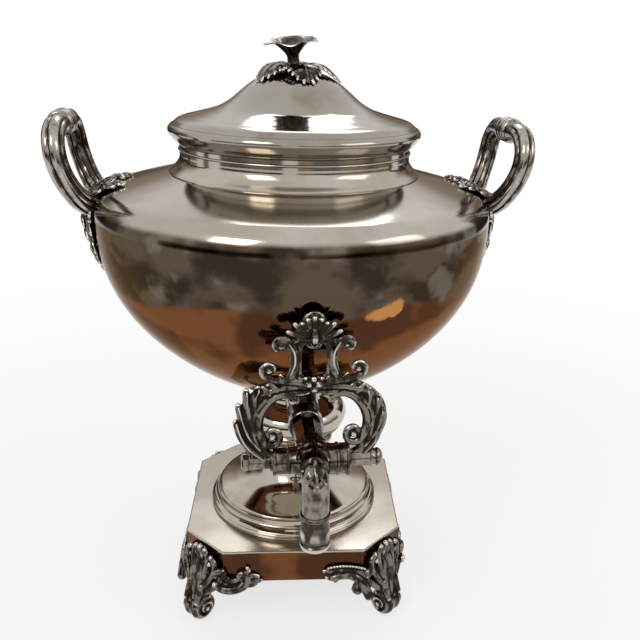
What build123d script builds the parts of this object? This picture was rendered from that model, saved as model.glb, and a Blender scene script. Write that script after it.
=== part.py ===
from build123d import *
import math
import os

# A silver-plated hot water urn: a wide spun bowl on a turned pedestal and a canted square plinth.
# Frame: origin on the bowl's axis at the floor, +Z up, the tap towards -Y, the handles at -X and +X.
# Lengths are millimetres and angles are degrees.

# Walls and clearances
sheet_wall = 1.4
plinth_wall = 1.6
solder_gap = 0.1
lift_gap = 0.3
run_gap = 0.05
slip_gap = 0.35
pole_flat = 0.6

# Plinth and feet
base_turn = -4.5
plinth_half = 85.0
plinth_corner_cut = 31.0
apron_bottom = 39.5
apron_height = 26.5
plinth_edge_round = 1.2
volute_radius = 11.0
volute_width = 15.0
volute_reach = 7.1
sole_flat = 0.3
foot_plate = 4.5
foot_wing_plate = 4.0
foot_ridge = 2.2
foot_crest_rise = 19.0
foot_curl_radius = 5.0
foot_width = 14.0
foot_stud_radius = 1.75
foot_stud_rise = 8.5
foot_nut_flats = 6.4
foot_nut_thickness = 2.6

# Pedestal, from the plinth's top to the bowl
pedestal_radius = 69.5
pedestal_height = 55.0
pedestal_throat = 26.2
pedestal_lip = 29.0
stem_ring_radius = 31.8
stem_ring_height = 3.0
knop_radius = 42.8
knop_height = 36.0
knop_top_radius = 24.0
socket_height = 6.3
socket_radius = 23.0
socket_bore = 18.5

# Tie rod that pulls bowl, knop, pedestal and plinth together
tie_rod_radius = 4.0
tie_nut_flats = 15.0
tie_nut_thickness = 6.5
tie_washer_radius = 24.0
tie_washer_thickness = 2.0
boss_radius = 13.0
boss_height = 18.0
boss_thread_depth = 12.0

# Bowl and shoulder
bowl_radius = 145.9
bowl_depth = 153.25
bowl_side_power = 1.70
bowl_floor_power = 0.83
bowl_flat_radius = 16.0
edge_radius = 18.0
shoulder_slope = 15.0

# Collar and lid
collar_radius = 84.0
collar_height = 19.9
collar_flare = 8.0
collar_bead = 0.9
lid_radius = 91.75
lid_rim_height = 13.7
lid_dome_height = 38.0
dome_drawn_radius = 91.75  # lid radius that the dome's outline was drawn for
lid_flange_depth = 8.7
lid_rim_fold = 2.2
leaf_reach = 35.0
leaf_thickness = 2.2
leaf_count = 5
flower_radius = 18.0
flower_height = 18.6
flower_stem_radius = 4.2
flower_tilt_side = 9.0
flower_tilt_front = 4.0
finial_bolt_radius = 2.5
finial_nut_flats = 9.0
finial_nut_thickness = 3.0
finial_washer_radius = 5.6

# Handles
handle_tube_radius = 7.4
handle_overhang = 18.1
handle_half_width = 42.0
handle_rise = 63.8
handle_corner_radius = 20.0
band_bead_radius = 9.2
band_bead_width = 6.2
band_bead_count = 3
root_leaf_thickness = 3.0
root_rib_thickness = 4.6
root_leaf_half_width = 25.0
bowl_leaf_drop = 46.7

# Tap
lever_clearance = 4.1
tap_rise = 17.7
tail_radius = 9.6
waterway_radius = 5.5
tail_flange_half_length = 3.5
tail_root_length = 26.9
tail_ring_inset = 15.0
tail_ring_width = 3.0
barrel_left_end = 25.6
barrel_right_end = 23.5
barrel_left_radius = 8.3
barrel_right_radius = 10.25
barrel_middle_radius = 11.2
plug_left_radius = 5.4
plug_right_radius = 6.9
plug_port_radius = 3.6
spindle_radius = 3.4
spout_radius = 8.6
spout_root = 11.9
spout_drop_reach = 20.6
nozzle_top_drop = 26.0
nozzle_radius = 10.1
nozzle_bore = 6.0
nozzle_length = 25.0

# Yoke lever
eye_left_radius = 4.9
eye_right_radius = 5.7
eye_end = 40.8
end_nut_length = 4.6
end_nut_radius = 5.7
end_cap_radius = 6.1
washer_thickness = 1.2
leg_reach = 32.0
leg_width = 8.0
lever_plate = 5.0
lever_boss = 6.6
scroll_reach = 27.0
scroll_height = 30.0
scroll_outer_radius = 20.5
scroll_inner_radius = 11.8
scroll_inner_shift = 9.0
lower_curl_radius = 6.2
window_half_width = 8.4
window_bottom = 60.5
window_height = 20.6
crown_height = 97.5
crown_ray_count = 7

# Heater sleeve, its iron and its cap
sleeve_radius = 24.0
sleeve_wall = 1.2
sleeve_height = 129.7
sleeve_floor = 2.0
iron_clearance = 1.3
iron_length = 106.0
iron_eye_radius = 6.0
iron_eye_wire = 1.9
cap_overhang = 2.0
cap_thickness = 3.5
cap_skirt_depth = 6.0
cap_skirt_wall = 1.2
cap_knob_radius = 5.2
cap_knob_height = 11.0

# Levels that follow from the sizes above
plinth_top = apron_bottom + apron_height
pedestal_top = plinth_top + pedestal_height
knop_bottom = pedestal_top + stem_ring_height
knop_top = knop_bottom + knop_height
bowl_base_height = knop_top + socket_height
foot_stud_height = apron_bottom + foot_stud_rise
rim_height = bowl_base_height + bowl_depth * math.sin(math.acos(
    (bowl_flat_radius / bowl_radius) ** (1 / bowl_side_power))) ** bowl_floor_power
edge_turn = 90.0 - shoulder_slope
edge_end_radius = bowl_radius - edge_radius * (1 - math.cos(math.radians(edge_turn)))
edge_end_height = rim_height + edge_radius * math.sin(math.radians(edge_turn))
shoulder_fall = math.tan(math.radians(shoulder_slope))
collar_base = edge_end_height + (edge_end_radius - collar_radius) * shoulder_fall
collar_top = collar_base + collar_height - collar_flare * shoulder_fall
lid_seat = collar_top + lift_gap
lid_dome_base = lid_seat + lid_rim_height
barrel_reach = bowl_radius + lever_clearance
tap_height = bowl_base_height + tap_rise
handle_reach = bowl_radius + handle_overhang
handle_grip_height = rim_height + handle_rise
bowl_leaf_tip_height = rim_height - bowl_leaf_drop
sleeve_top = bowl_base_height + sleeve_height
mouth_radius = collar_radius - sheet_wall
flange_radius = mouth_radius - slip_gap
corner_face = (2 * plinth_half - plinth_corner_cut) / math.sqrt(2)
corner_half_face = plinth_corner_cut / math.sqrt(2)
sleeve_bore = sleeve_radius - sleeve_wall

upright = Plane.XZ


def turned(*edges):
    """Solid turned about the Z axis from a closed outline of radius and height."""
    return revolve(upright * make_face(list(edges)), Axis.Z)


def turned_polygon(points):
    """Solid turned about the Z axis from the corners of its section."""
    return turned(*Polyline(*points, close=True).edges())


def moved_out(points, distance):
    """The same open run of points, moved to its left by a distance."""
    moved = []
    for index, (x, y) in enumerate(points):
        before = points[max(index - 1, 0)]
        after = points[min(index + 1, len(points) - 1)]
        dx = after[0] - before[0]
        dy = after[1] - before[1]
        length = math.hypot(dx, dy)
        moved.append((x - dy / length * distance, y + dx / length * distance))
    return moved


# Bowl and shoulder outline
def bowl_curve(grow):
    """Bowl side from its foot to its rim, moved outwards by grow."""
    steps = 9
    foot_angle = math.acos((bowl_flat_radius / bowl_radius) ** (1 / bowl_side_power))
    points = []
    for step in range(steps + 1):
        angle = foot_angle * (1 - (step / steps)) ** 1.25
        radius = bowl_radius * math.cos(angle) ** bowl_side_power
        height = rim_height - bowl_depth * math.sin(angle) ** bowl_floor_power
        slope_r = bowl_side_power * bowl_radius * math.cos(angle) ** (bowl_side_power - 1) * math.sin(angle)
        slope_z = bowl_floor_power * bowl_depth * max(math.sin(angle), 1e-9) ** (bowl_floor_power - 1)
        slope_z = slope_z * math.cos(angle)
        length = math.hypot(slope_r, slope_z)
        points.append((radius + grow * slope_z / length, height - grow * slope_r / length))
    return points


def edge_point(turn, grow):
    """Point on the rounded shoulder edge, turn degrees up from the rim."""
    angle = math.radians(turn)
    radius = bowl_radius - edge_radius + (edge_radius + grow) * math.cos(angle)
    height = rim_height + (edge_radius + grow) * math.sin(angle)
    return (radius, height)


def cone_point(radius, grow):
    """Point on the shoulder's cone at a radius."""
    height = edge_end_height + (edge_end_radius - radius) * shoulder_fall
    return (radius, height + grow / math.cos(math.radians(shoulder_slope)))


def body_solid(grow):
    """Everything inside the bowl and shoulder, with its surface moved outwards by grow."""
    side = bowl_curve(grow)
    foot = side[0]
    rim = side[-1]
    edge_top = edge_point(edge_turn, grow)
    inner = cone_point(collar_radius - collar_flare, grow)
    return turned(Line((0, foot[1]), foot), Spline(*side, tangents=((1, 0.35), (0, 1))),
                  ThreePointArc(rim, edge_point(edge_turn / 2, grow), edge_top),
                  Line(edge_top, inner), Line(inner, (0, inner[1])), Line((0, inner[1]), (0, foot[1])))


def bowl_wall_reach():
    """Radius of the bowl's wall at the tap's height."""
    depth = ((rim_height - tap_height) / bowl_depth) ** (1 / bowl_floor_power)
    return bowl_radius * math.cos(math.asin(depth)) ** bowl_side_power


def tail_joint_reach():
    """Place of the joint in the tap's tail, half way from the bowl's wall to the barrel."""
    return (bowl_wall_reach() + barrel_reach) / 2


def bowl():
    outer = bowl_curve(0)
    inner = bowl_curve(-sheet_wall)
    inner_foot = (inner[0][0], outer[0][1] + sheet_wall)
    inner[0] = inner_foot
    shell = turned(Line((0, outer[0][1]), outer[0]), Spline(*outer, tangents=((1, 0.35), (0, 1))),
                   Line(outer[-1], inner[-1]), Spline(*reversed(inner)),
                   Line(inner_foot, (0, inner_foot[1])), Line((0, inner_foot[1]), (0, outer[0][1])))
    waterway = tube_along_y(waterway_radius, 0, -barrel_reach)
    return shell - waterway


def shoulder():
    top = edge_point(edge_turn, 0)
    under = edge_point(edge_turn, -sheet_wall)
    mouth = cone_point(mouth_radius, 0)
    mouth_under = cone_point(mouth_radius, -sheet_wall)
    return turned(ThreePointArc(edge_point(0, 0), edge_point(edge_turn / 2, 0), top), Line(top, mouth),
                  Line(mouth, mouth_under), Line(mouth_under, under),
                  ThreePointArc(under, edge_point(edge_turn / 2, -sheet_wall), edge_point(0, -sheet_wall)),
                  Line(edge_point(0, -sheet_wall), edge_point(0, 0)))


def tube_along_y(radius, start, end):
    """Round bar along Y at the tap's height."""
    length = abs(end - start)
    middle = (start + end) / 2
    return Pos(0, middle, tap_height) * Rot(90, 0, 0) * Cylinder(radius, length)


# Plinth
def canted_square(inset):
    half = plinth_half - inset
    cut = plinth_corner_cut - inset * (2 - math.sqrt(2))
    side = half - cut
    return Polygon((half, -side), (half, side), (side, half), (-side, half), (-half, side),
                   (-half, -side), (-side, -half), (side, -half), align=None)


def plinth():
    block = Pos(0, 0, apron_bottom) * extrude(canted_square(0), apron_height)
    block = fillet(block.faces().sort_by(Axis.Z)[-1].outer_wire().edges(), plinth_edge_round)
    hollow = Pos(0, 0, apron_bottom) * extrude(canted_square(plinth_wall), apron_height - plinth_wall)
    block = block - hollow
    block = block - Pos(0, 0, plinth_top) * Cylinder(tie_rod_radius + lift_gap, 4 * plinth_wall)
    for corner in range(4):
        hole = Pos(corner_face, 0, foot_stud_height) * Rot(0, 90, 0)
        hole = hole * Cylinder(foot_stud_radius + solder_gap, 12)
        block = block - Rot(0, 0, 45 + 90 * corner) * hole
    return Rot(0, 0, base_turn) * block


# Scroll feet: each is one casting, drawn with its corner face looking along +X
def foot_wing(outline, side):
    """Scrolled wing that lies on the apron beside the corner, on the given side."""
    along = (-side * math.sqrt(0.5), math.sqrt(0.5), 0)
    out = (math.sqrt(0.5), side * math.sqrt(0.5), 0)
    face_plane = Plane(origin=(corner_face, side * corner_half_face, 0), x_dir=along, z_dir=out)
    points = [(side * distance, apron_bottom + height) for distance, height in outline]
    curve = Spline(*points, tangents=((side, -0.2), (-side, 0.2)))
    return extrude(face_plane * make_face(curve + Line(points[-1], points[0])), foot_wing_plate)


def foot():
    half = corner_half_face + foot_ridge
    fan = [(-half, -6), (-half, 9), (-16, 16.5), (-9, 14.5), (0, foot_crest_rise), (9, 14.5), (16, 16.5),
           (half, 9), (half, -6)]
    fan = [(y, apron_bottom + z) for y, z in fan]
    corner_plane = Plane(origin=(corner_face, 0, 0), x_dir=(0, 1, 0), z_dir=(1, 0, 0))
    sides = Polyline(fan[1], fan[0], fan[-1], fan[-2])
    body = extrude(corner_plane * make_face(sides + Spline(*fan[1:-1])), foot_plate)
    curled_wing = [(0.4, -6.5), (7, -8.5), (17, -6), (25, 0), (30.5, 2.5), (26, 7), (20.5, 10.5),
                   (17.5, 15.5), (11.5, 12), (9, 6), (3, 4.5), (0.4, 9)]
    swept_wing = [(0.4, -6.5), (5, -12), (8, -4), (13, 0.5), (21, 1), (28, 3.5), (34, 11), (33, 15),
                  (25, 15.5), (14, 17), (5, 13), (0.4, 9)]
    body = body + foot_wing(curled_wing, 1) + foot_wing(swept_wing, -1)

    volute_x = corner_face + volute_reach
    side_plane = Plane(origin=(0, 0, 0), x_dir=(1, 0, 0), z_dir=(0, -1, 0))
    front = Spline((corner_face + foot_plate, apron_bottom + 10), (volute_x + 2.5, apron_bottom + 2),
                   (volute_x + 2.5, apron_bottom - 8), (volute_x + 3, volute_radius * 1.6))
    back = Spline((volute_x - 8, volute_radius * 1.2), (corner_face - 2.5, apron_bottom - 12),
                  (corner_face - 8.5, apron_bottom - 3), (corner_face - 9.5, apron_bottom))
    shelf = Polyline(back @ 1, (corner_face, apron_bottom), (corner_face, apron_bottom + 10), front @ 0)
    leg_face = make_face(front + Line(front @ 1, back @ 0) + back + shelf)
    body = body + extrude(side_plane * leg_face, foot_width / 2, both=True)
    knee = loft([Pos(corner_face + 2.2, 0, apron_bottom - 1) * Rectangle(9.5, 1.9 * corner_half_face - 6),
                 Pos(volute_x - 1.5, 0, volute_radius * 1.9) * Rectangle(11, foot_width)])
    under_plinth = Pos(0, 0, apron_bottom) * extrude(canted_square(0), apron_height)
    body = body + (knee - Rot(0, 0, 45) * under_plinth)
    volute = Pos(volute_x, 0, volute_radius - sole_flat) * Rot(90, 0, 0)
    body = body + volute * Cylinder(volute_radius, volute_width)
    floor_block = Box(4 * volute_radius, 2 * volute_width, 2 * volute_radius)
    body = body - Pos(volute_x, 0, -volute_radius) * floor_block
    body = body + Pos(volute_x + 1, 0, volute_radius + 1) * Rot(90, 0, 0) * Cylinder(3.4, volute_width + 3)
    curl = Pos(corner_face + 3.5, 0, apron_bottom - 15) * Rot(90, 0, 0)
    body = body + curl * Cylinder(foot_curl_radius, 2 * corner_half_face - 14)
    stud_length = plinth_wall + foot_nut_thickness + 2 * solder_gap + 1.5
    stud = Pos(corner_face + 1 - (stud_length + 2) / 2, 0, foot_stud_height) * Rot(0, 90, 0)
    return body + stud * Cylinder(foot_stud_radius, stud_length + 2)


def foot_nut():
    hexagon = RegularPolygon(foot_nut_flats / 2, 6, major_radius=False)
    nut = extrude(hexagon - Circle(foot_stud_radius + solder_gap), foot_nut_thickness)
    nut_x = corner_face - plinth_wall - foot_nut_thickness - solder_gap
    return Pos(nut_x, 0, foot_stud_height) * Rot(0, 90, 0) * nut


def at_corner(solid, corner):
    """A foot piece turned to one of the plinth's four corners."""
    return Rot(0, 0, base_turn + 45 + 90 * corner) * solid


# Pedestal and stem
def pedestal_foot():
    base = plinth_top
    edge = pedestal_radius
    dome = [(edge - 7.7, base + 15.5), (edge - 19.5, base + 19.3), (edge - 31, base + 24), (30.5, base + 31),
            (pedestal_throat + 0.6, base + 39), (pedestal_throat, base + 46),
            (pedestal_lip - 1.4, base + 52), (pedestal_lip, pedestal_top)]
    inner = moved_out(dome, sheet_wall)
    inner[-1] = (pedestal_lip - sheet_wall, pedestal_top)
    steps = [dome[0], (edge - 6.6, base + 14), (edge - 5.2, base + 12.6), (edge - 5.2, base + 9.8),
             (edge - 3.4, base + 8.4), (edge - 3.4, base + 5.8), (edge - 1.6, base + 5.2), (edge, base + 4),
             (edge, base), (edge - sheet_wall, base), (edge - sheet_wall - 4, base + 6),
             (edge - sheet_wall - 6.2, base + 12), inner[0]]
    return turned(Spline(*dome), Line(dome[-1], inner[-1]), Spline(*reversed(inner)),
                  *Polyline(*reversed(steps)).edges())


def stem_ring():
    middle = pedestal_top + stem_ring_height / 2
    flat = stem_ring_radius - stem_ring_height / 2
    bead = ThreePointArc((flat, pedestal_top), (stem_ring_radius, middle), (flat, knop_bottom))
    inside = Polyline((flat, knop_bottom), (pedestal_lip - 3, knop_bottom), (pedestal_lip - 3, pedestal_top),
                      (flat, pedestal_top))
    return turned(bead, *inside.edges())


def knop():
    points = [(pedestal_lip - 0.5, knop_bottom), (knop_radius - 9.4, knop_bottom + 5.6),
              (knop_radius - 2.6, knop_bottom + 13.2), (knop_radius, knop_bottom + 21.8),
              (knop_radius - 3, knop_bottom + 29), (knop_radius - 10, knop_bottom + 33.4),
              (knop_top_radius, knop_top)]
    inner = moved_out(points, sheet_wall)
    inner[0] = (pedestal_lip - 0.5 - sheet_wall, knop_bottom)
    inner[-1] = (knop_top_radius - 0.8, knop_top - sheet_wall)
    lip = Polyline(points[-1], (socket_bore, knop_top), (socket_bore, knop_top - sheet_wall), inner[-1])
    return turned(Spline(*points), *lip.edges(), Spline(*reversed(inner)), Line(inner[0], points[0]))


def bowl_socket():
    top = bowl_base_height + 6
    waist = socket_radius - 1.6
    outer = ThreePointArc((socket_radius, knop_top), (waist, knop_top + 5), (socket_radius + 1.5, top))
    sides = Polyline((socket_radius + 1.5, top), (socket_bore, top), (socket_bore, knop_top),
                     (socket_radius, knop_top))
    return turned(outer, *sides.edges()) - body_solid(solder_gap)


def bowl_boss():
    boss = Pos(0, 0, bowl_base_height - boss_height / 2) * Cylinder(boss_radius, boss_height)
    thread = Cylinder(tie_rod_radius + run_gap, boss_thread_depth)
    return boss - Pos(0, 0, bowl_base_height - boss_height + boss_thread_depth / 2) * thread


def tie_rod():
    bottom = plinth_top - plinth_wall - tie_washer_thickness - tie_nut_thickness - 3
    top = bowl_base_height - boss_height + boss_thread_depth - solder_gap
    return Pos(0, 0, (bottom + top) / 2) * Cylinder(tie_rod_radius, top - bottom)


def tie_washer():
    level = plinth_top - plinth_wall - tie_washer_thickness / 2
    ring = Cylinder(tie_washer_radius, tie_washer_thickness) - Cylinder(tie_rod_radius + run_gap, 9)
    return Pos(0, 0, level) * ring


def tie_nut():
    hexagon = RegularPolygon(tie_nut_flats / 2, 6, major_radius=False)
    nut = extrude(hexagon - Circle(tie_rod_radius + run_gap), tie_nut_thickness)
    level = plinth_top - plinth_wall - tie_washer_thickness - tie_nut_thickness
    return Pos(0, 0, level) * chamfer(nut.faces().sort_by(Axis.Z)[0].outer_wire().edges(), 0.7)


# Collar and lid
def collar():
    foot_radius = collar_radius + collar_flare
    foot_z = cone_point(foot_radius, 0)[1] + 0.8
    flare = Spline((foot_radius, foot_z), (collar_radius + 3.2, collar_base + 3.0),
                   (collar_radius, collar_base + 9), tangents=((-1, 0.2), (0, 1)))
    bead_low = collar_top - 4.6
    bead = ThreePointArc((collar_radius, bead_low), (collar_radius + collar_bead, bead_low + 1),
                         (collar_radius, bead_low + 2))
    rest = Polyline((collar_radius, bead_low + 2), (collar_radius, collar_top), (mouth_radius, collar_top),
                    (mouth_radius, collar_base - 6), (foot_radius, collar_base - 6), (foot_radius, foot_z))
    section = [flare, Line((collar_radius, collar_base + 9), (collar_radius, bead_low)), bead, *rest.edges()]
    return turned(*section) - body_solid(solder_gap)


def lid_rim():
    inside = flange_radius + solder_gap
    outer = Spline((collar_radius + 0.4, lid_seat), (collar_radius + 4.2, lid_seat + 3.4),
                   (lid_radius, lid_seat + 9.6), (lid_radius - 2.9, lid_dome_base),
                   tangents=((0.4, 1), (-1, 0.35)))
    inner = Spline((lid_radius - 3.2, lid_dome_base - sheet_wall), (lid_radius - sheet_wall, lid_seat + 9.2),
                   (collar_radius + 2.9, lid_seat + 4.6), (inside, lid_seat + lid_rim_fold))
    fold = Polyline((inside, lid_seat + lid_rim_fold), (inside, lid_seat), (collar_radius + 0.4, lid_seat))
    return turned(outer, Line(outer @ 1, inner @ 0), inner, *fold.edges())


def lid_skirt():
    """Plain ring, soldered inside the rim, that drops into the collar."""
    length = lid_flange_depth + lid_rim_fold
    ring = Cylinder(flange_radius, length) - Cylinder(flange_radius - sheet_wall, 2 * length)
    return Pos(0, 0, lid_seat - lid_flange_depth + length / 2) * ring


def dome_points(grow):
    """The lid's upper surface from its rim to the bolt's hole, moved up by grow."""
    rise = lid_dome_height
    edge = lid_radius - 3.3
    spread = lid_radius / dome_drawn_radius
    outline = [(edge, 0.1), (edge - 3.8 * spread, 0.084 * rise), (edge - 12.8 * spread, 0.153 * rise),
               (edge - 22.8 * spread, 0.224 * rise), (edge - 32.8 * spread, 0.311 * rise),
               (edge - 40.8 * spread, 0.432 * rise), (edge - 48.8 * spread, 0.605 * rise),
               (edge - 56.8 * spread, 0.771 * rise), (edge - 66.8 * spread, 0.916 * rise),
               (edge - 77.8 * spread, 0.98 * rise),
               (finial_bolt_radius + solder_gap, rise)]
    return [(radius, lid_dome_base + height + grow) for radius, height in outline]


def dome_sheet(low, high):
    """Sheet between two distances above the lid's upper surface."""
    under = dome_points(low)
    over = dome_points(high)
    return turned(Spline(*over), Line(over[-1], under[-1]),
                  Spline(*reversed(under)), Line(under[0], over[0]))


def lid_dome():
    return dome_sheet(-sheet_wall, 0)


def leaf_outline(angle):
    """One pointed, lobed leaf of the rosette, seen from above."""
    reach = leaf_reach
    half = [(0.05, 0.10), (0.36, 0.17), (0.44, 0.27), (0.56, 0.21), (0.68, 0.29), (0.80, 0.16), (1.0, 0.0)]
    upper = [(reach * along, reach * across) for along, across in half]
    lower = [(x, -y) for x, y in upper[:-1]]
    upper = upper[::-1]
    return Rot(0, 0, angle) * make_face(Polyline(*lower, *upper, close=True))


def finial_leaves():
    rosette = Circle(leaf_reach * 0.34)
    for leaf in range(leaf_count):
        rosette = rosette + leaf_outline(-82 + leaf * 360 / leaf_count)
    prism = Pos(0, 0, lid_dome_base) * extrude(rosette, 2 * lid_dome_height)
    return dome_sheet(solder_gap, solder_gap + leaf_thickness) & prism


def finial_flower():
    base = lid_dome_base + lid_dome_height + solder_gap + leaf_thickness + 0.1
    stem = flower_stem_radius
    top = base + flower_height
    outer = Spline((stem + 1.5, base + 0.8), (stem, base + 6), (stem + 1.6, base + 11),
                   (flower_radius * 0.6, top - 3.6), (flower_radius, top - 1),
                   tangents=((-0.4, 1), (1, 0.1)))
    inner = Spline((flower_radius, top), (flower_radius * 0.58, top - 2.2), (stem, base + 12.5),
                   (pole_flat, base + 9))
    foot_line = Polyline((pole_flat, base + 9), (0, base + 9), (0, base + 0.8), (stem + 1.5, base + 0.8))
    body = turned(outer, Line(outer @ 1, inner @ 0), inner, *foot_line.edges())
    lobes = Circle(flower_radius * 0.8)
    for petal in range(5):
        place = Rot(0, 0, 18 + 72 * petal) * Pos(flower_radius * 0.6, 0)
        lobes = lobes + place * Circle(flower_radius * 0.4)
    body = body & Pos(0, 0, base) * extrude(lobes, 2 * flower_height)
    body = Pos(0, 0, base) * Rot(flower_tilt_front, -flower_tilt_side, 0) * Pos(0, 0, -base) * body
    seat = Pos(0, 0, base + 1.1) * Cylinder(stem + 1.8, 2.2)
    bolt_length = leaf_thickness + sheet_wall + 9
    return body + seat + Pos(0, 0, base + 1 - bolt_length / 2) * Cylinder(finial_bolt_radius, bolt_length)


def finial_nut():
    crown = lid_dome_base + lid_dome_height - sheet_wall - solder_gap
    hexagon = RegularPolygon(finial_nut_flats / 2, 6, major_radius=False)
    nut = extrude(hexagon, finial_nut_thickness)
    nut = nut + Pos(0, 0, finial_nut_thickness) * extrude(Circle(finial_washer_radius), 1)
    nut = nut - Cylinder(finial_bolt_radius + run_gap, 20)
    return Pos(0, 0, crown - finial_nut_thickness - 1.4) * nut


# Handles, drawn on the +X side
def handle_path():
    width = handle_half_width
    knee = (handle_reach, width, handle_grip_height - handle_corner_radius - 6.5)
    hip = (handle_reach - 10.5, width - 6, knee[2] - 21.5)
    root = (bowl_radius - 8, width - 27, rim_height + 5)
    side = [root, hip, knee, (handle_reach, width, handle_grip_height)]
    mirrored = [(x, -y, z) for x, y, z in reversed(side)]
    corners = [16, 22, handle_corner_radius]
    return FilletPolyline(*side, *mirrored, radius=corners + corners[::-1])


def handle():
    path = handle_path()
    section = Plane(origin=path @ 0, z_dir=path % 0) * Circle(handle_tube_radius)
    return sweep(section, path=path) - body_solid(root_leaf_thickness + 2 * solder_gap)


def handle_band():
    inner = handle_tube_radius + solder_gap
    length = band_bead_width * band_bead_count
    start = -length / 2
    edges = [Line((inner, start), (inner + 0.6, start))]
    for bead in range(band_bead_count):
        low = start + bead * band_bead_width
        edges.append(ThreePointArc((inner + 0.6, low), (band_bead_radius, low + band_bead_width / 2),
                                   (inner + 0.6, low + band_bead_width)))
    edges.append(Line((inner + 0.6, -start), (inner, -start)))
    edges.append(Line((inner, -start), (inner, start)))
    return Pos(handle_reach, 0, handle_grip_height) * Rot(90, 0, 0) * turned(*edges)


def leaf_skin(thickness):
    """Sheet lying on the bowl and shoulder."""
    return body_solid(solder_gap + thickness) - body_solid(solder_gap)


def handle_leaf():
    half = root_leaf_half_width
    back = bowl_radius - 28
    spread = [(bowl_radius + 12, -half), (bowl_radius - 10, -half), (back + 9, -half * 0.62),
              (back + 7, -half * 0.30), (back, 0), (back + 7, half * 0.30), (back + 9, half * 0.62),
              (bowl_radius - 10, half), (bowl_radius + 12, half)]
    rim = rim_height
    tip = bowl_leaf_tip_height
    fall = rim - tip
    drop = [(-half * 0.62, rim + 3), (-half * 0.62, rim), (-half * 0.66, rim - fall * 0.22),
            (-half * 0.46, rim - fall * 0.42), (-half * 0.44, rim - fall * 0.58),
            (-half * 0.22, rim - fall * 0.80),
            (0, tip), (half * 0.22, rim - fall * 0.80), (half * 0.44, rim - fall * 0.58),
            (half * 0.46, rim - fall * 0.42), (half * 0.66, rim - fall * 0.22), (half * 0.62, rim),
            (half * 0.62, rim + 3)]
    shoulder_part = Pos(0, 0, rim + 2) * extrude(Polygon(*spread, align=None), 40)
    outward = Plane(origin=(bowl_radius * 0.7, 0, 0), x_dir=(0, 1, 0), z_dir=(1, 0, 0))
    bowl_part = extrude(outward * Polygon(*drop, align=None), bowl_radius)
    rib = [(-3.2, rim), (-2.2, rim - fall * 0.5), (0, tip + 5), (2.2, rim - fall * 0.5), (3.2, rim)]
    rib_part = extrude(outward * Polygon(*rib, align=None), bowl_radius)
    leaf = leaf_skin(root_leaf_thickness) & (shoulder_part + bowl_part)
    return leaf + (leaf_skin(root_rib_thickness) & rib_part)


# Tap
def barrel_axis(solid):
    """Places a piece turned about Z so that its axis is the plug's axis."""
    return Pos(0, -barrel_reach, tap_height) * Rot(0, 90, 0) * solid


def tap_socket():
    joint = tail_joint_reach()
    body = tube_along_y(tail_radius, 0, -joint)
    body = body + tube_along_y(tail_radius + 2.6, -joint + tail_flange_half_length, -joint)
    body = body + tube_along_y(tail_radius + 2.2, 0, -bowl_wall_reach() - tail_root_length)
    return body - body_solid(solder_gap) - tube_along_y(waterway_radius, 0, -barrel_reach)


def plug_profile(grow):
    """Section of the tapered plug, and of its bore when grow is the running gap."""
    left = plug_left_radius + grow
    right = plug_right_radius + grow
    return turned_polygon([(0, -barrel_left_end), (left, -barrel_left_end), (right, barrel_right_end),
                           (0, barrel_right_end)])


def tap_barrel():
    left = -barrel_left_end
    right = barrel_right_end
    low = barrel_left_radius
    high = barrel_right_radius
    shell = turned_polygon([(0, left), (low + 0.9, left), (low + 0.9, left + 2.4), (low, left + 3.2),
                            (low + 0.4, -13), (barrel_middle_radius, -9), (barrel_middle_radius, 10),
                            (high - 0.2, 13), (high, right - 6), (high + 0.9, right - 5),
                            (high + 0.9, right), (0, right)])
    joint = tail_joint_reach()
    ring_start = -barrel_reach + tail_ring_inset
    body = barrel_axis(shell)
    body = body + tube_along_y(tail_radius, -barrel_reach, -joint)
    body = body + tube_along_y(tail_radius + 2.6, -joint - tail_flange_half_length, -joint)
    body = body + tube_along_y(tail_radius + 1.4, ring_start, ring_start + tail_ring_width)
    body = body + tube_along_y(spout_radius + 0.9, -barrel_reach, -barrel_reach - spout_root)
    body = body - tube_along_y(waterway_radius, -joint + 1, -barrel_reach - spout_root - 2)
    return body - barrel_axis(plug_profile(run_gap))


def tap_plug():
    port = Pos(0, -barrel_reach, tap_height) * Cylinder(plug_port_radius, 30)
    ends = Cylinder(spindle_radius, 2 * (eye_end + end_nut_length - 1.2))
    return barrel_axis(plug_profile(0) + ends) - port


def tap_spout():
    start_y = -barrel_reach - spout_root
    drop_y = -barrel_reach - spout_drop_reach
    low = tap_height - nozzle_top_drop
    solids = []
    for radius in (spout_radius, waterway_radius):
        level = tube_along_y(radius, start_y, drop_y)
        drop = Pos(0, drop_y, (tap_height + low) / 2) * Cylinder(radius, tap_height - low)
        elbow = Pos(0, drop_y, tap_height) * Sphere(radius)
        solids.append(level + drop + elbow)
    return solids[0] - solids[1]


def spout_nozzle():
    top = -nozzle_top_drop
    end = top - nozzle_length
    ring = spout_radius + 1.0
    pear = Spline((spout_radius - 0.4, top - 5), (nozzle_radius, top - nozzle_length * 0.6),
                  (nozzle_radius - 1.2, end + 3))
    upper = Polyline((spout_radius, top), (ring, top - 0.8), (ring, top - 2.8),
                     (spout_radius - 0.4, top - 3.6), (spout_radius - 0.4, top - 5))
    lower = Polyline((nozzle_radius - 1.2, end + 3), (nozzle_radius - 0.5, end + 2.4),
                     (nozzle_radius - 0.5, end), (nozzle_bore, end), (nozzle_bore, top), (spout_radius, top))
    nozzle = turned(pear, *upper.edges(), *lower.edges())
    return Pos(0, -barrel_reach - spout_drop_reach, tap_height) * nozzle


def plug_washer():
    ring = Cylinder(eye_left_radius + 1, washer_thickness) - Cylinder(spindle_radius + run_gap, 9)
    return barrel_axis(Pos(0, 0, -barrel_left_end - 0.2 - washer_thickness / 2) * ring)


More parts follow.
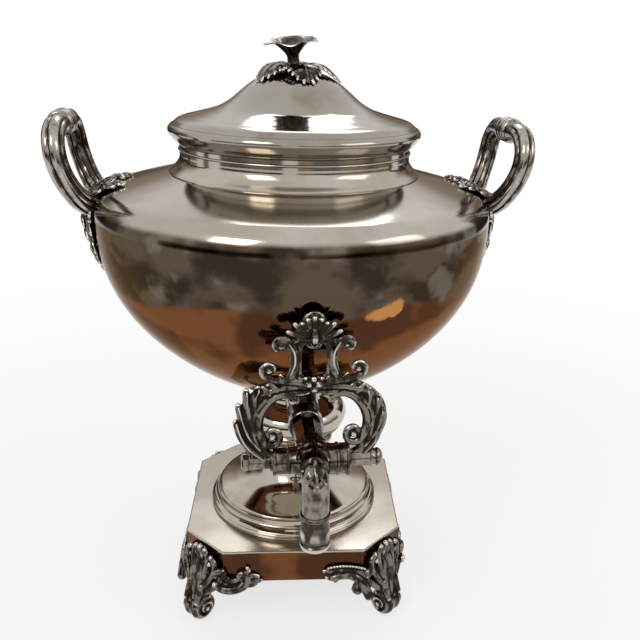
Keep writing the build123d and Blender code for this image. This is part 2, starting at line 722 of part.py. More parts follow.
def lever_nut():
    octagon = RegularPolygon(end_nut_radius, 8)
    nut = extrude(octagon, end_nut_length)
    nut = chamfer(nut.faces().sort_by(Axis.Z)[0].outer_wire().edges(), 0.9)
    nut = Pos(0, 0, -eye_end - end_nut_length - solder_gap) * nut
    return barrel_axis(nut - Cylinder(spindle_radius + run_gap, 2 * (eye_end + end_nut_length - 1.1)))


def lever_cap():
    start = eye_end + solder_gap
    end = start + end_nut_length
    dome = Spline((end_cap_radius, start + 1.8), (end_cap_radius * 0.75, end - 0.9), (pole_flat, end))
    rest = Polyline((pole_flat, end), (0, end), (0, start), (end_cap_radius - 0.5, start),
                    (end_cap_radius, start + 0.6), (end_cap_radius, start + 1.8))
    cap = turned(dome, *rest.edges())
    return barrel_axis(cap - Cylinder(spindle_radius + run_gap, 2 * (eye_end + end_nut_length - 1.1)))


# Openwork yoke lever, drawn on a plane with the plug's axis as its origin
def both_sides(sketch):
    return sketch + mirror(sketch, Plane.YZ)


def crown_sketch():
    """Palmette of rounded rays over the window."""
    base = window_bottom + window_height + 1
    length = crown_height - base
    rays = Pos(0, base + 3) * Ellipse(13.2, 7.5)
    for ray in range(crown_ray_count):
        angle = (ray - (crown_ray_count - 1) / 2) * 26
        reach = length - 2.6 - 0.035 * abs(angle)
        rays = rays + Pos(0, base) * Rot(0, 0, -angle) * Pos(0, reach) * Circle(2.6)
        rays = rays + Pos(0, base) * Rot(0, 0, -angle) * Pos(0, reach / 2) * Rectangle(4.4, reach)
    return rays


def arm_sketch():
    """Upper C scrolls each side of the window, with a ball curl above and another below."""
    middle = window_bottom + window_height * 0.44
    arms = Pos(0, middle) * Rectangle(30, 28)
    bite = Pos(24, middle) * Circle(11.4)
    arms = arms - both_sides(bite)
    curls = Pos(19.6, window_bottom + window_height - 0.8) * Circle(4.5)
    curls = curls + Pos(25, window_bottom + 0.6) * Circle(5.1)
    link = Pos(20, window_bottom - 3.6) * Rot(0, 0, -14) * Ellipse(8, 3.4)
    top_link = Pos(14.5, window_bottom + window_height + 2) * Rot(0, 0, -24) * Ellipse(6, 3)
    return arms + both_sides(curls + link + top_link)


def scroll_sketch():
    """Large lower C scroll with its leaf tips, inner curl and leg."""
    outer = Pos(scroll_reach, scroll_height) * Circle(scroll_outer_radius)
    inner = Pos(scroll_reach - scroll_inner_shift, scroll_height + 0.5) * Circle(scroll_inner_radius)
    open_side = Pos(scroll_reach - 17, scroll_height - 9.5) * Rectangle(22, 32)
    crescent = outer - inner - open_side
    curl = Pos(scroll_reach - 2.6, scroll_height - 11.2) * Circle(lower_curl_radius)
    start_curl = Pos(11.6, scroll_height + 11.5) * Circle(4.4)
    leg = Pos(leg_reach, 7) * Rectangle(leg_width, 16)
    tips = Pos(40.5, scroll_height + 14.5) * Rot(0, 0, 40) * Ellipse(5.2, 2.8)
    tips = tips + Pos(46.6, scroll_height + 4) * Rot(0, 0, 62) * Ellipse(4.6, 2.4)
    tips = tips + Pos(46.0, scroll_height - 6.5) * Rot(0, 0, 80) * Ellipse(5.0, 2.4)
    spray = Pos(15, 50.5) * Rot(0, 0, -8) * Ellipse(15, 5)
    return both_sides(crescent + curl + start_curl + leg + tips + spray)


def lever_plate_sketch():
    window = Pos(0, window_bottom + window_height / 2) * Rectangle(2 * window_half_width, window_height)
    arch = Pos(0, window_bottom + window_height - 3) * Ellipse(window_half_width, 3.6)
    window = window - Pos(0, window_bottom + window_height) * Rectangle(2 * window_half_width, 6) + arch
    knot = Pos(0, 52.5) * Circle(5.6)
    whole = crown_sketch() + arm_sketch() + scroll_sketch() + knot
    return whole - window


def on_lever_plane(sketch, thickness):
    """Extrudes a lever sketch both ways from the plane through the plug's axis."""
    plane = Plane(origin=(0, -barrel_reach, tap_height), x_dir=(1, 0, 0), z_dir=(0, -1, 0))
    return extrude(plane * sketch, thickness / 2, both=True)


def yoke_lever():
    lever = on_lever_plane(lever_plate_sketch(), lever_plate)
    bosses = Pos(19.6, window_bottom + window_height - 0.8) * Circle(3.3)
    bosses = bosses + Pos(25, window_bottom + 0.6) * Circle(3.6)
    bosses = bosses + Pos(scroll_reach - 2.6, scroll_height - 11.2) * Circle(4.2)
    bosses = bosses + Pos(11.6, scroll_height + 11.5) * Circle(2.8)
    lever = lever + on_lever_plane(both_sides(bosses) + Pos(0, 52.5) * Circle(3.8), lever_boss)
    left_length = eye_end - barrel_left_end - washer_thickness - 0.3
    right_length = eye_end - barrel_right_end - 0.4
    left = Pos(0, 0, -eye_end + left_length / 2) * Cylinder(eye_left_radius, left_length)
    right = Pos(0, 0, eye_end - right_length / 2) * Cylinder(eye_right_radius, right_length)
    barrel_room = Cylinder(barrel_right_radius + 1.6, 2 * barrel_left_end + 1)
    lever = (lever - barrel_axis(barrel_room)) + barrel_axis(left) + barrel_axis(right)
    return lever - barrel_axis(Cylinder(spindle_radius + run_gap, 2 * eye_end + 4))


# Heater sleeve
def heater_sleeve():
    low = bowl_base_height
    tube = Pos(0, 0, (low + sleeve_top) / 2) * Cylinder(sleeve_radius, sleeve_top - low)
    bore_low = iron_floor()
    bore = Pos(0, 0, (bore_low + sleeve_top) / 2) * Cylinder(sleeve_bore, sleeve_top - bore_low)
    return (tube - bore) & body_solid(-sheet_wall - solder_gap)


def iron_floor():
    return bowl_base_height + sheet_wall + sleeve_floor + 2


def heating_iron():
    radius = sleeve_bore - iron_clearance
    slug = Pos(0, 0, iron_floor() + iron_length / 2) * Cylinder(radius, iron_length)
    slug = chamfer(slug.edges(), 2)
    eye_level = iron_floor() + iron_length + iron_eye_radius - iron_eye_wire / 2
    eye = Pos(0, 0, eye_level) * Rot(90, 0, 0) * Torus(iron_eye_radius, iron_eye_wire)
    return slug + eye


def sleeve_cap():
    low = sleeve_top + lift_gap
    over = sleeve_radius + cap_overhang
    skirt = sleeve_bore - slip_gap
    crown = Spline((over, low + 1.2), (over * 0.6, low + cap_thickness - 0.7),
                   (pole_flat, low + cap_thickness))
    rest = Polyline((pole_flat, low + cap_thickness), (0, low + cap_thickness), (0, low + 1),
                    (skirt - cap_skirt_wall, low + 1), (skirt - cap_skirt_wall, low - cap_skirt_depth),
                    (skirt, low - cap_skirt_depth), (skirt, low), (over, low), (over, low + 1.2))
    return turned(crown, *rest.edges())


def sleeve_cap_knob():
    low = sleeve_top + lift_gap + cap_thickness + solder_gap
    neck = cap_knob_radius * 0.5
    ball = Spline((neck, low + cap_knob_height - 6), (cap_knob_radius, low + cap_knob_height - 3),
                  (pole_flat, low + cap_knob_height))
    rest = Polyline((pole_flat, low + cap_knob_height), (0, low + cap_knob_height), (0, low),
                    (cap_knob_radius, low), (neck, low + 2.4), (neck, low + cap_knob_height - 6))
    return turned(ball, *rest.edges())


def left_copy(solid):
    """The same piece on the -X side."""
    return Rot(0, 0, 180) * solid


parts = {
    "plinth": plinth(),
    "foot_nuts": Compound(children=[at_corner(foot_nut(), corner) for corner in range(4)]),
    "pedestal_foot": pedestal_foot(),
    "stem_ring": stem_ring(),
    "knop": knop(),
    "bowl_socket": bowl_socket(),
    "bowl_boss": bowl_boss(),
    "tie_rod": tie_rod(),
    "tie_washer": tie_washer(),
    "tie_nut": tie_nut(),
    "bowl": bowl(),
    "shoulder": shoulder(),
    "collar": collar(),
    "handle_right": handle(),
    "handle_left": left_copy(handle()),
    "handle_band_right": handle_band(),
    "handle_band_left": left_copy(handle_band()),
    "handle_leaf_right": handle_leaf(),
    "handle_leaf_left": left_copy(handle_leaf()),
    "lid_rim": lid_rim(),
    "lid_skirt": lid_skirt(),
    "lid_dome": lid_dome(),
    "finial_leaves": finial_leaves(),
    "finial_flower": finial_flower(),
    "finial_nut": finial_nut(),
    "tap_socket": tap_socket(),
    "tap_barrel": tap_barrel(),
    "tap_spout": tap_spout(),
    "spout_nozzle": spout_nozzle(),
    "tap_plug": tap_plug(),
    "plug_washer": plug_washer(),
    "yoke_lever": yoke_lever(),
    "lever_nut": lever_nut(),
    "lever_cap": lever_cap(),
    "heater_sleeve": heater_sleeve(),
    "heating_iron": heating_iron(),
    "sleeve_cap": sleeve_cap(),
    "sleeve_cap_knob": sleeve_cap_knob(),
}
corner_names = ["rear_right", "rear_left", "front_left", "front_right"]
for corner, name in enumerate(corner_names):
    parts["foot_" + name] = at_corner(foot(), corner)

os.makedirs("parts", exist_ok=True)
for name, solid in parts.items():
    export_step(solid, f"parts/{name}.step")
    print(name, "volume", round(solid.volume / 1000, 1), "cm3")
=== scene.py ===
# %% [markdown]
# # An old silver-plated hot water urn
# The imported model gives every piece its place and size. This lesson dresses it: spun sheet gets smooth
# turned meshes with a mirror finish, castings get leaves, scrolls and beads, and a small studio lights
# them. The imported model's frame is kept: metres, +Z up, the tap towards -Y, the handles at -X and +X.

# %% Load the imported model
import math

import bmesh
import bpy
import numpy as np
from mathutils import Matrix, Vector


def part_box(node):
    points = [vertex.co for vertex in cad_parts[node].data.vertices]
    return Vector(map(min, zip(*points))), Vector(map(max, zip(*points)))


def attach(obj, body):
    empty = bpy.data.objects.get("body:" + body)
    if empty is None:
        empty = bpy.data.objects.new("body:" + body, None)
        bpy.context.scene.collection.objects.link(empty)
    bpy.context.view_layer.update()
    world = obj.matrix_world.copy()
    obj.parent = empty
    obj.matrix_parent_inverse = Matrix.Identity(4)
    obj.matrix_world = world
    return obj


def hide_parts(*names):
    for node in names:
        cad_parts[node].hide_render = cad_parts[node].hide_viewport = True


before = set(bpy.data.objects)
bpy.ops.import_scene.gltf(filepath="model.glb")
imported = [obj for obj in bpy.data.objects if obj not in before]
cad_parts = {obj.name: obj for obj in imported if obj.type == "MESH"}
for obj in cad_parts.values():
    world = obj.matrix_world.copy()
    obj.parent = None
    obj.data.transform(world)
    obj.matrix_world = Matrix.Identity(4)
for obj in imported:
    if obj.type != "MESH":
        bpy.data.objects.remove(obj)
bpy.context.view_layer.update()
MM = 0.001

# %% [markdown]
# ## Sizes read from the frame
# A dressed piece has to stand where its solid stands, so the sizes that they share are read from the
# boxes of the nodes instead of being typed again. Heights are Z values, radii are half of a box's width.

# %% Sizes that the pieces share
def low(node):
    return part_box(node)[0]


def high(node):
    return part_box(node)[1]


def radius_of(node):
    return (high(node).x - low(node).x) / 2


bowl_radius = radius_of("bowl")
bowl_foot = low("bowl").z
rim_height = high("bowl").z
collar_top = high("collar").z
LIFT_GAP = 0.3 * MM
lid_seat = collar_top + LIFT_GAP
lid_radius = radius_of("lid_rim")
dome_base = high("lid_rim").z
dome_top = high("lid_dome").z
plinth_low = low("plinth").z
plinth_high = high("plinth").z
pedestal_top = high("pedestal_foot").z
knop_low = low("knop").z
knop_high = high("knop").z
tap_height = (low("tap_plug").z + high("tap_plug").z) / 2
plug_y = (low("tap_plug").y + high("tap_plug").y) / 2
BASE_TURN = math.radians(-4.5)  # how far the plinth is turned under the bowl
print("bowl", bowl_radius, rim_height, "lid", lid_radius, dome_base, "tap", plug_y, tap_height)

# %% [markdown]
# ## Camera
# The photograph is square. Its camera was found by fitting the plinth's corners, the rims and the lid's
# bead, which gives a place, three axes, a focal length and the point where the lens axis meets the
# picture.

# %% Camera at the photograph's place
PICTURE_SIDE = 640.0
FOCAL_PIXELS = 784.6136
LENS_AXIS_PIXEL = (363.7253, 323.8952)
SENSOR_WIDTH = 36.0
camera_place = Vector((-46.34, -589.65, 440.23)) * MM
camera_right = Vector((0.98681, -0.15803, 0.03498))
camera_up = Vector((0.02233, 0.34698, 0.93761))
camera_back = Vector((-0.16031, -0.92446, 0.34594))

camera_data = bpy.data.cameras.new("camera")
camera_data.sensor_width = SENSOR_WIDTH
camera_data.lens = FOCAL_PIXELS / PICTURE_SIDE * SENSOR_WIDTH
camera_data.shift_x = (PICTURE_SIDE / 2 - LENS_AXIS_PIXEL[0]) / PICTURE_SIDE
camera_data.shift_y = (LENS_AXIS_PIXEL[1] - PICTURE_SIDE / 2) / PICTURE_SIDE
camera_data.clip_start = 0.01
camera_data.clip_end = 50.0


def in_scene(name, data):
    """A new object of the scene that shows a camera, a lamp or a mesh."""
    made = bpy.data.objects.new(name, data)
    bpy.context.scene.collection.objects.link(made)
    return made


camera = in_scene("camera", camera_data)
camera_columns = [(*axis, 0.0) for axis in (camera_right, camera_up, camera_back)] + [(*camera_place, 1.0)]
camera.matrix_world = Matrix(camera_columns).transposed()
bpy.context.scene.camera = camera
print("lens", round(camera_data.lens, 2), "shift", round(camera_data.shift_x, 4),
      round(camera_data.shift_y, 4))

# %% [markdown]
# ## Shader maths
# A finish is a small calculation on the surface's coordinates. It could be drawn by hand in the node
# editor, but then nobody could read it. Here `Wire` wraps a socket, so that the calculation reads like
# arithmetic, and `Graph.node` is the one place where a node is made: for finishes, for the studio and for
# the node group that makes copies. `Finish` is the graph of one material.

# %% A socket that can be added and multiplied
class Wire:
    """A value inside a graph: arithmetic on it adds Math nodes."""

    def __init__(self, graph, socket):
        self.graph = graph
        self.socket = socket

    def maths(self, operation, first, second):
        return self.graph.node("ShaderNodeMath", {"operation": operation}, {0: first, 1: second})

    def __add__(self, other):
        return self.maths("ADD", self, other)

    __radd__ = __add__

    def __mul__(self, other):
        return self.maths("MULTIPLY", self, other)

    __rmul__ = __mul__

    def __sub__(self, other):
        return self.maths("SUBTRACT", self, other)

    def __rsub__(self, other):
        return self.maths("SUBTRACT", other, self)

    def __truediv__(self, other):
        return self.maths("DIVIDE", self, other)

    def __rtruediv__(self, other):
        return self.maths("DIVIDE", other, self)

    def __pow__(self, other):
        return self.maths("POWER", self, other)

    def or_more(self, other):
        """The larger of two values."""
        return self.maths("MAXIMUM", self, other)


# %% The one place where nodes are made
class Graph:
    """A tree of nodes under construction."""

    def __init__(self, tree):
        self.tree = tree

    def join(self, value, socket):
        if isinstance(value, Wire):
            self.tree.links.new(value.socket, socket)
        else:
            socket.default_value = value

    def node(self, kind, settings, values, output=0):
        """A node of a kind, with its settings and the values or links of its sockets."""
        made = self.tree.nodes.new(kind)
        for name, value in settings.items():
            setattr(made, name, value)
        for key, value in values.items():
            self.join(value, made.inputs[key])
        return Wire(self, made.outputs[output]) if made.outputs else None


# %% A material
class Finish(Graph):
    """A material under construction around its own Principled shader."""

    def __init__(self, name):
        self.material = bpy.data.materials.new(name)
        self.material.use_nodes = True
        super().__init__(self.material.node_tree)
        self.shader = self.tree.nodes["Principled BSDF"]

    def place(self):
        return self.node("ShaderNodeTexCoord", {}, {}, "Object")

    def parts_of(self, vector):
        return [self.node("ShaderNodeSeparateXYZ", {}, {0: vector}, axis) for axis in "XYZ"]

    def noise(self, vector, scale, detail=3.0, roughness=0.55):
        values = {"Vector": vector, "Scale": scale, "Detail": detail, "Roughness": roughness}
        return self.node("ShaderNodeTexNoise", {}, values, "Fac")

    def upright_noise(self, vector, upward, scale, detail, roughness=0.55):
        """Noise on a multiplied height: under 1 its patches stretch upwards, over 1 they flatten."""
        squeezed = self.node("ShaderNodeMapping", {}, {"Vector": vector, "Scale": (1.0, 1.0, upward)})
        return self.noise(squeezed, scale, detail, roughness)

    def clamped(self, value, start, end):
        """0 below start and 1 above end, smoothly in between."""
        return self.node("ShaderNodeMapRange", {"interpolation_type": "SMOOTHSTEP", "clamp": True},
                         {"Value": value, "From Min": start, "From Max": end})

    def blend(self, factor, first, second):
        """A colour between two colours."""
        first, second = (part if isinstance(part, Wire) else (*part, 1.0) for part in (first, second))
        return self.node("ShaderNodeMix", {"data_type": "RGBA"}, {0: factor, 6: first, 7: second}, 2)

    def set(self, **values):
        for name, value in values.items():
            self.join(value, self.shader.inputs[name.replace("_", " ")])

    def bump(self, height, strength, distance):
        values = {"Height": height, "Strength": strength, "Distance": distance}
        self.set(Normal=self.node("ShaderNodeBump", {}, values, "Normal"))


# %% [markdown]
# ## Spun silver plate
# The bowl, shoulder, collar, lid, pedestal and plinth are thin sheet, spun over a former and plated. Old
# plate is warm rather than white, and its polish has fine rings that follow the turning. The bowl's upper
# part carries soft dark brown clouds, a painted reflection of dim brown surroundings, and below that
# copper shows, partly worn plate and partly a painted reflection of brown surroundings, with one bright
# patch on the front that is a painted reflection alone. A picture could be wrapped round the sheets, but it
# would stretch towards the bowl's foot, so noise on the metal's own place makes every patch. The dark
# clouds and the copper are each kept to a band of heights, each piece states its own, and a tone makes one
# sheet a little darker than its neighbour.

# %% Colours of plate, painted reflections and copper
PLATE = (0.455, 0.405, 0.340)
PLATE_COOL = (0.520, 0.480, 0.420)
PLATE_DULL = (0.240, 0.190, 0.140)
# Painted reflection of dark brown surroundings on the bowl's upper part, in two shades.
DARK_REFLECTION_BROWN = (0.098, 0.072, 0.049)
DARK_REFLECTION_DEEP = (0.038, 0.025, 0.017)
# Copper in two shades: worn plate and a painted reflection of brown surroundings.
WORN_AND_REFLECTED_COPPER = (0.175, 0.068, 0.028)
# The bright orange patch on the bowl's front is a painted reflection.
REFLECTED_ORANGE = (0.600, 0.265, 0.085)
WORN_AND_REFLECTED_COPPER_DARK = (0.076, 0.030, 0.014)
# Black of the castings' hollows: tarnish and painted shade.
TARNISH_AND_SHADE = (0.022, 0.016, 0.012)
# Place and size of the painted reflection patch on the bowl's front.
PATCH_X = 43 * MM
PATCH_Z = 276 * MM
PATCH_HALF_LENGTH = 17 * MM
PATCH_HALF_HEIGHT = 6 * MM
PATCH_SLOPE = 0.28
print("colours from", DARK_REFLECTION_DEEP, "to", REFLECTED_ORANGE)

# %% Painted dark reflection and copper
def painted_dark_reflection(finish, place, height, colour, dark_reflection_top):
    """Painted reflection of dark surroundings: brown clouds below the given top, through which a little of
    the plate shows.
    """
    patches = finish.upright_noise(place, 1.25, 24.0, 4.0, 0.5)
    clouds = finish.blend(finish.clamped(patches, 0.42, 0.58), DARK_REFLECTION_DEEP, DARK_REFLECTION_BROWN)
    bright = finish.clamped(finish.upright_noise(place, 1.1, 31.0, 2.5), 0.55, 0.68)
    clouds = finish.blend(bright * 0.22, clouds, colour)
    ragged = height + 3 * MM * (finish.noise(place, 24.0, 2.0) - 0.5)
    above = finish.clamped(ragged, dark_reflection_top - 1.5 * MM, dark_reflection_top + 2.5 * MM)
    return finish.blend(1 - above, colour, clouds)


def copper_wear_and_reflection(finish, place, height, colour, copper_and_reflection_top, fade):
    """Copper in two shades below a ragged line, which fades over a height: worn plate and a painted
    reflection of brown surroundings.
    """
    ragged = height + fade * 7.0 * (finish.noise(place, 13.0, 2.0) - 0.5)
    above = finish.clamped(ragged, copper_and_reflection_top - fade, copper_and_reflection_top)
    deep = finish.clamped(finish.noise(place, 16.0, 3.0, 0.45), 0.44, 0.54)
    return finish.blend(1 - above, colour, finish.blend(deep, WORN_AND_REFLECTED_COPPER, WORN_AND_REFLECTED_COPPER_DARK))


def painted_reflection_patch(finish, place, colour):
    """A painted reflection: one long ragged patch of bright orange on the bowl's front."""
    x, y, z = finish.parts_of(place)
    aside = (x - PATCH_X) / PATCH_HALF_LENGTH
    above = (z - PATCH_Z - PATCH_SLOPE * (x - PATCH_X)) / PATCH_HALF_HEIGHT
    ragged = 6.5 * (finish.noise(place, 42.0, 4.0, 0.6) - 0.5)
    behind = finish.clamped(y, -0.05, 0.0) * 9.0
    outside = finish.clamped(aside * aside + above * above + ragged + behind, 0.5, 1.3)
    return finish.blend(0.85 - 0.85 * outside, colour, REFLECTED_ORANGE)


# %% Finish of the spun pieces
def spun_plate(name, dullness=0.4, shine=0.09, tone=1.0, dark_reflection_top=0.0, copper_and_reflection_top=0.0, fade=0.03,
               edge_tint=(1.0, 1.0, 1.0)):
    """Polished sheet, with a painted dark reflection below one height and copper, worn plate and painted
    reflection, below another, heights in metres.
    """
    finish = Finish(name)
    place = finish.place()
    x, y, z = finish.parts_of(place)
    plain, cool = (tuple(tone * part for part in plate) for plate in (PLATE, PLATE_COOL))
    broad = finish.noise(place, 14.0, 2.0) + 0.25 * finish.noise(place, 130.0, 4.0)
    colour = finish.blend(finish.clamped(broad, 0.50, 0.78), plain, cool)
    dull = finish.clamped(finish.noise(place, 32.0, 5.0), 0.50, 0.80) * dullness
    colour = finish.blend(dull, colour, PLATE_DULL)
    # Painted dark reflection below its top height.
    if dark_reflection_top:
        colour = painted_dark_reflection(finish, place, z, colour, dark_reflection_top)
    # Copper below its top height: worn plate and painted reflection.
    if copper_and_reflection_top:
        colour = copper_wear_and_reflection(finish, place, z, colour, copper_and_reflection_top, fade)
    # Both bands set, as on the bowl, which also gets its painted reflection patch.
    if dark_reflection_top and copper_and_reflection_top:
        colour = painted_reflection_patch(finish, place, colour)
    turning = finish.node("ShaderNodeCombineXYZ", {}, {0: (x * x + y * y) ** 0.5, 1: z, 2: 0.0})
    rings = finish.noise(turning, 900.0, 2.0)
    scratches = finish.clamped(finish.upright_noise(place, 9.0, 260.0, 3.0), 0.55, 0.8)
    finish.set(Base_Color=colour, Metallic=1.0, Roughness=shine + 0.06 * dull + 0.06 * scratches,
               Specular_Tint=(*edge_tint, 1.0))
    finish.bump(finish.noise(place, 16.0, 1.0) + 0.012 * rings, 0.5, 0.0016)
    return finish.material


# %% Plates of bowl, shoulder, lid, stem and plinth
# Top heights of the painted dark reflection and of the copper, which is worn plate and painted reflection.
DARK_REFLECTION_TOP = rim_height + 7.5 * MM
BOWL_COPPER_AND_REFLECTION_TOP = 277 * MM
bowl_plate = spun_plate("bowl_plate", dullness=0.8, shine=0.05, dark_reflection_top=DARK_REFLECTION_TOP,
                        copper_and_reflection_top=BOWL_COPPER_AND_REFLECTION_TOP, fade=6 * MM, edge_tint=(0.70, 0.60, 0.52))
shoulder_plate = spun_plate("shoulder_plate", shine=0.13, tone=0.92, dark_reflection_top=DARK_REFLECTION_TOP)
lid_plate = spun_plate("lid_plate", dullness=0.9, shine=0.10, tone=0.68)
stem_plate = spun_plate("stem_plate", dullness=0.6)
# The plinth's apron is copper below its top: worn plate and painted reflection.
plinth_plate = spun_plate("plinth_plate", shine=0.18, tone=0.88, copper_and_reflection_top=plinth_high - 1.0 * MM,
                          fade=0.35 * MM)
print("plates", [material.name for material in bpy.data.materials])

# %% [markdown]
# ## Cast silver plate
# Castings keep a dark bloom in their hollows, because polish never reaches it, while hands rub their
# ridges bright. Light and shade alone could tell hollows from ridges, but not in a white studio, so the
# colour also paints shade into the hollows and a highlight onto the ridges. The meshes carry a number
# for each corner, `recess`, which says how hollow the place is, and the finish turns it into black
# tarnish with painted shade and rubbed metal with a painted highlight. Streaks of bright and brown,
# a painted reflection of bright and dark surroundings, lie between the two.

# %% Finish of the castings
# Rubbed silver with a painted highlight, for the castings' ridges.
RUBBED_AND_HIGHLIGHT = (0.600, 0.570, 0.520)


def cast_plate(name, bright, brown, roughness, ridges=True, rub_and_highlight_to=0.32, soot_and_shade_from=0.52):
    """Old plate in streaks of painted reflection, with tarnish and painted shade in hollows and rubbed wear
    and a painted highlight on ridges.
    """
    finish = Finish(name)
    place = finish.place()
    broad = finish.noise(place, 48.0, 3.0)
    # Bright and brown streaks: a painted reflection of bright and dark surroundings.
    reflection_streaks = 0.45 * broad + 0.55 * finish.upright_noise(place, 0.6, 210.0, 3.0)
    all_brown, all_bright = (0.45, 0.56) if ridges else (0.38, 0.62)
    colour = finish.blend(finish.clamped(reflection_streaks, all_brown, all_bright), brown, bright)
    if ridges:
        # By recess: rubbed wear with a painted highlight on ridges, tarnish with painted shade in hollows.
        recess = finish.node("ShaderNodeAttribute", {"attribute_name": "recess"}, {}, "Fac")
        rubbed_and_highlight = 1 - finish.clamped(recess + 0.20 * broad, rub_and_highlight_to - 0.15, rub_and_highlight_to)
        soot_and_shade = finish.clamped(recess + 0.10 * broad, soot_and_shade_from, soot_and_shade_from + 0.16)
        colour = finish.blend(soot_and_shade, finish.blend(rubbed_and_highlight, colour, RUBBED_AND_HIGHLIGHT), TARNISH_AND_SHADE)
        roughness = roughness + 0.25 * soot_and_shade
    finish.set(Base_Color=colour, Metallic=1.0, Roughness=roughness)
    finish.bump(finish.noise(place, 420.0, 3.0) + 0.6 * finish.noise(place, 1300.0, 2.0), 0.35, 0.0002)
    return finish.material


cast_silver = cast_plate("cast_silver", (0.208, 0.188, 0.162), (0.034, 0.027, 0.021), 0.09)
dark_silver = cast_plate("dark_silver", (0.120, 0.102, 0.084), (0.050, 0.040, 0.032), 0.12, soot_and_shade_from=0.82)
handle_silver = cast_plate("handle_silver", (0.290, 0.262, 0.226), (0.058, 0.047, 0.038), 0.09, rub_and_highlight_to=0.17)
tap_silver = cast_plate("tap_silver", (0.300, 0.272, 0.236), (0.046, 0.036, 0.028), 0.07, ridges=False)
print("castings", cast_silver.name, dark_silver.name, handle_silver.name, tap_silver.name)

# %% [markdown]
# ## Iron and brass
# The rod, its nut and the heating iron are plain iron, and the plug and the boss are brass. They are
# hidden or nearly so, and one grainy metal finish in two colours is enough.

# %% Finish of the hidden pieces
def plain_metal(name, colour, roughness):
    finish = Finish(name)
    grain = finish.noise(finish.place(), 240.0, 4.0)
    shaded = tuple(0.6 * part for part in colour)
    finish.set(Base_Color=finish.blend(finish.clamped(grain, 0.35, 0.7), colour, shaded), Metallic=1.0,
               Roughness=roughness + 0.2 * grain)
    finish.bump(grain, 0.4, 0.0003)
    return finish.material


dark_iron = plain_metal("dark_iron", (0.12, 0.11, 0.10), 0.45)
turned_brass = plain_metal("turned_brass", (0.60, 0.42, 0.20), 0.25)
print("hidden metals", dark_iron.name, turned_brass.name)

# %% [markdown]
# ## Turned meshes
# A spun piece is an outline of radius and height carried round the axis, as on the lathe that made it.
# The imported solids could be used as they are, but they have few faces, and a mirror shows every one of
# them. So the big sheets are turned again with fine steps. Smooth runs of the outline go through a few
# given points, and corners stay sharp.

# %% Outlines
def steps_from(first, second, steps):
    """Points near a place: each pair of millimetres is added to the place's two lengths in metres."""
    return [(first + a * MM, second + b * MM) for a, b in steps]


def smooth_run(points, per_span=10):
    """Points of a smooth curve through the given points, both ends included."""
    run = [np.array(point, float) for point in points]
    run = [2 * run[0] - run[1], *run, 2 * run[-1] - run[-2]]
    result = []
    for before, start, end, after in zip(run, run[1:], run[2:], run[3:]):
        knots = [0.0]
        for a, b in ((before, start), (start, end), (end, after)):
            knots.append(knots[-1] + max(np.linalg.norm(b - a), 1e-9) ** 0.5)
        for step in range(per_span):
            at = knots[1] + (knots[2] - knots[1]) * step / per_span
            a1 = before + (start - before) * (at - knots[0]) / (knots[1] - knots[0])
            a2 = start + (end - start) * (at - knots[1]) / (knots[2] - knots[1])
            a3 = end + (after - end) * (at - knots[2]) / (knots[3] - knots[2])
            b1 = a1 + (a2 - a1) * (at - knots[0]) / (knots[2] - knots[0])
            b2 = a2 + (a3 - a2) * (at - knots[1]) / (knots[3] - knots[1])
            result.append(tuple(b1 + (b2 - b1) * (at - knots[1]) / (knots[2] - knots[1])))
    result.append(tuple(points[-1]))
    return result


def moved_left(points, distance):
    """An open run of points moved to its left."""
    moved = []
    for index, (x, y) in enumerate(points):
        before = points[max(index - 1, 0)]
        after = points[min(index + 1, len(points) - 1)]
        dx, dy = after[0] - before[0], after[1] - before[1]
        length = math.hypot(dx, dy)
        moved.append((x - dy / length * distance, y + dx / length * distance))
    return moved


# %% Meshes
def grid_faces(rows, around, first=0, capped=True):
    """Faces between rows of points that close on themselves, with a face over each end if capped."""
    faces = []
    for row in range(rows - 1):
        here = first + row * around
        for step in range(around):
            after = (step + 1) % around
            faces.append((here + step, here + after, here + around + after, here + around + step))
    if capped:
        last = first + (rows - 1) * around
        faces.append(tuple(first + step for step in range(around)))
        faces.append(tuple(last + step for step in reversed(range(around))))
    return faces


def new_piece(name, vertices, faces, material, smooth_angle=35.0):
    """A mesh object with its place in its mesh, merged, with faces outwards."""
    mesh = bpy.data.meshes.new(name)
    mesh.from_pydata([tuple(v) for v in vertices], [], faces)
    shape = bmesh.new()
    shape.from_mesh(mesh)
    bmesh.ops.remove_doubles(shape, verts=shape.verts, dist=1e-6)
    bmesh.ops.recalc_face_normals(shape, faces=shape.faces)
    shape.to_mesh(mesh)
    shape.free()
    mesh.materials.append(material)
    mesh.shade_smooth()
    mesh.set_sharp_from_angle(angle=math.radians(smooth_angle))
    return in_scene(name, mesh)


def turned(name, outline, material, steps=192, smooth_angle=35.0):
    """A closed outline of radius and height, carried round the Z axis."""
    count = len(outline)
    vertices = []
    faces = []
    for step in range(steps):
        angle = 2 * math.pi * step / steps
        for radius, height in outline:
            vertices.append((radius * math.cos(angle), radius * math.sin(angle), height))
        for index in range(count):
            after = (index + 1) % count
            here = step * count
            there = (step + 1) % steps * count
            faces.append((here + index, there + index, there + after, here + after))
    return new_piece(name, vertices, faces, material, smooth_angle)


def dressed(piece, body, slot, *nodes):
    """Rides a piece on its body and lets it stand for CAD nodes; its slot is not used."""
    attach(piece, body)
    if nodes:
        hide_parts(*nodes)
    print(piece.name, "on", body, len(piece.data.polygons), "faces")
    return piece


# %% [markdown]
# ## Bowl, shoulder and collar
# The bowl's side is a stretched circle: the cosine and sine of one angle, each raised to a power. A curve
# through chosen points would do too, but two powers give the same flowing side without a single bulge.
# The shoulder rolls over an 18 mm edge into a cone of 15 degrees, and the collar rises from it with a
# soft flare.

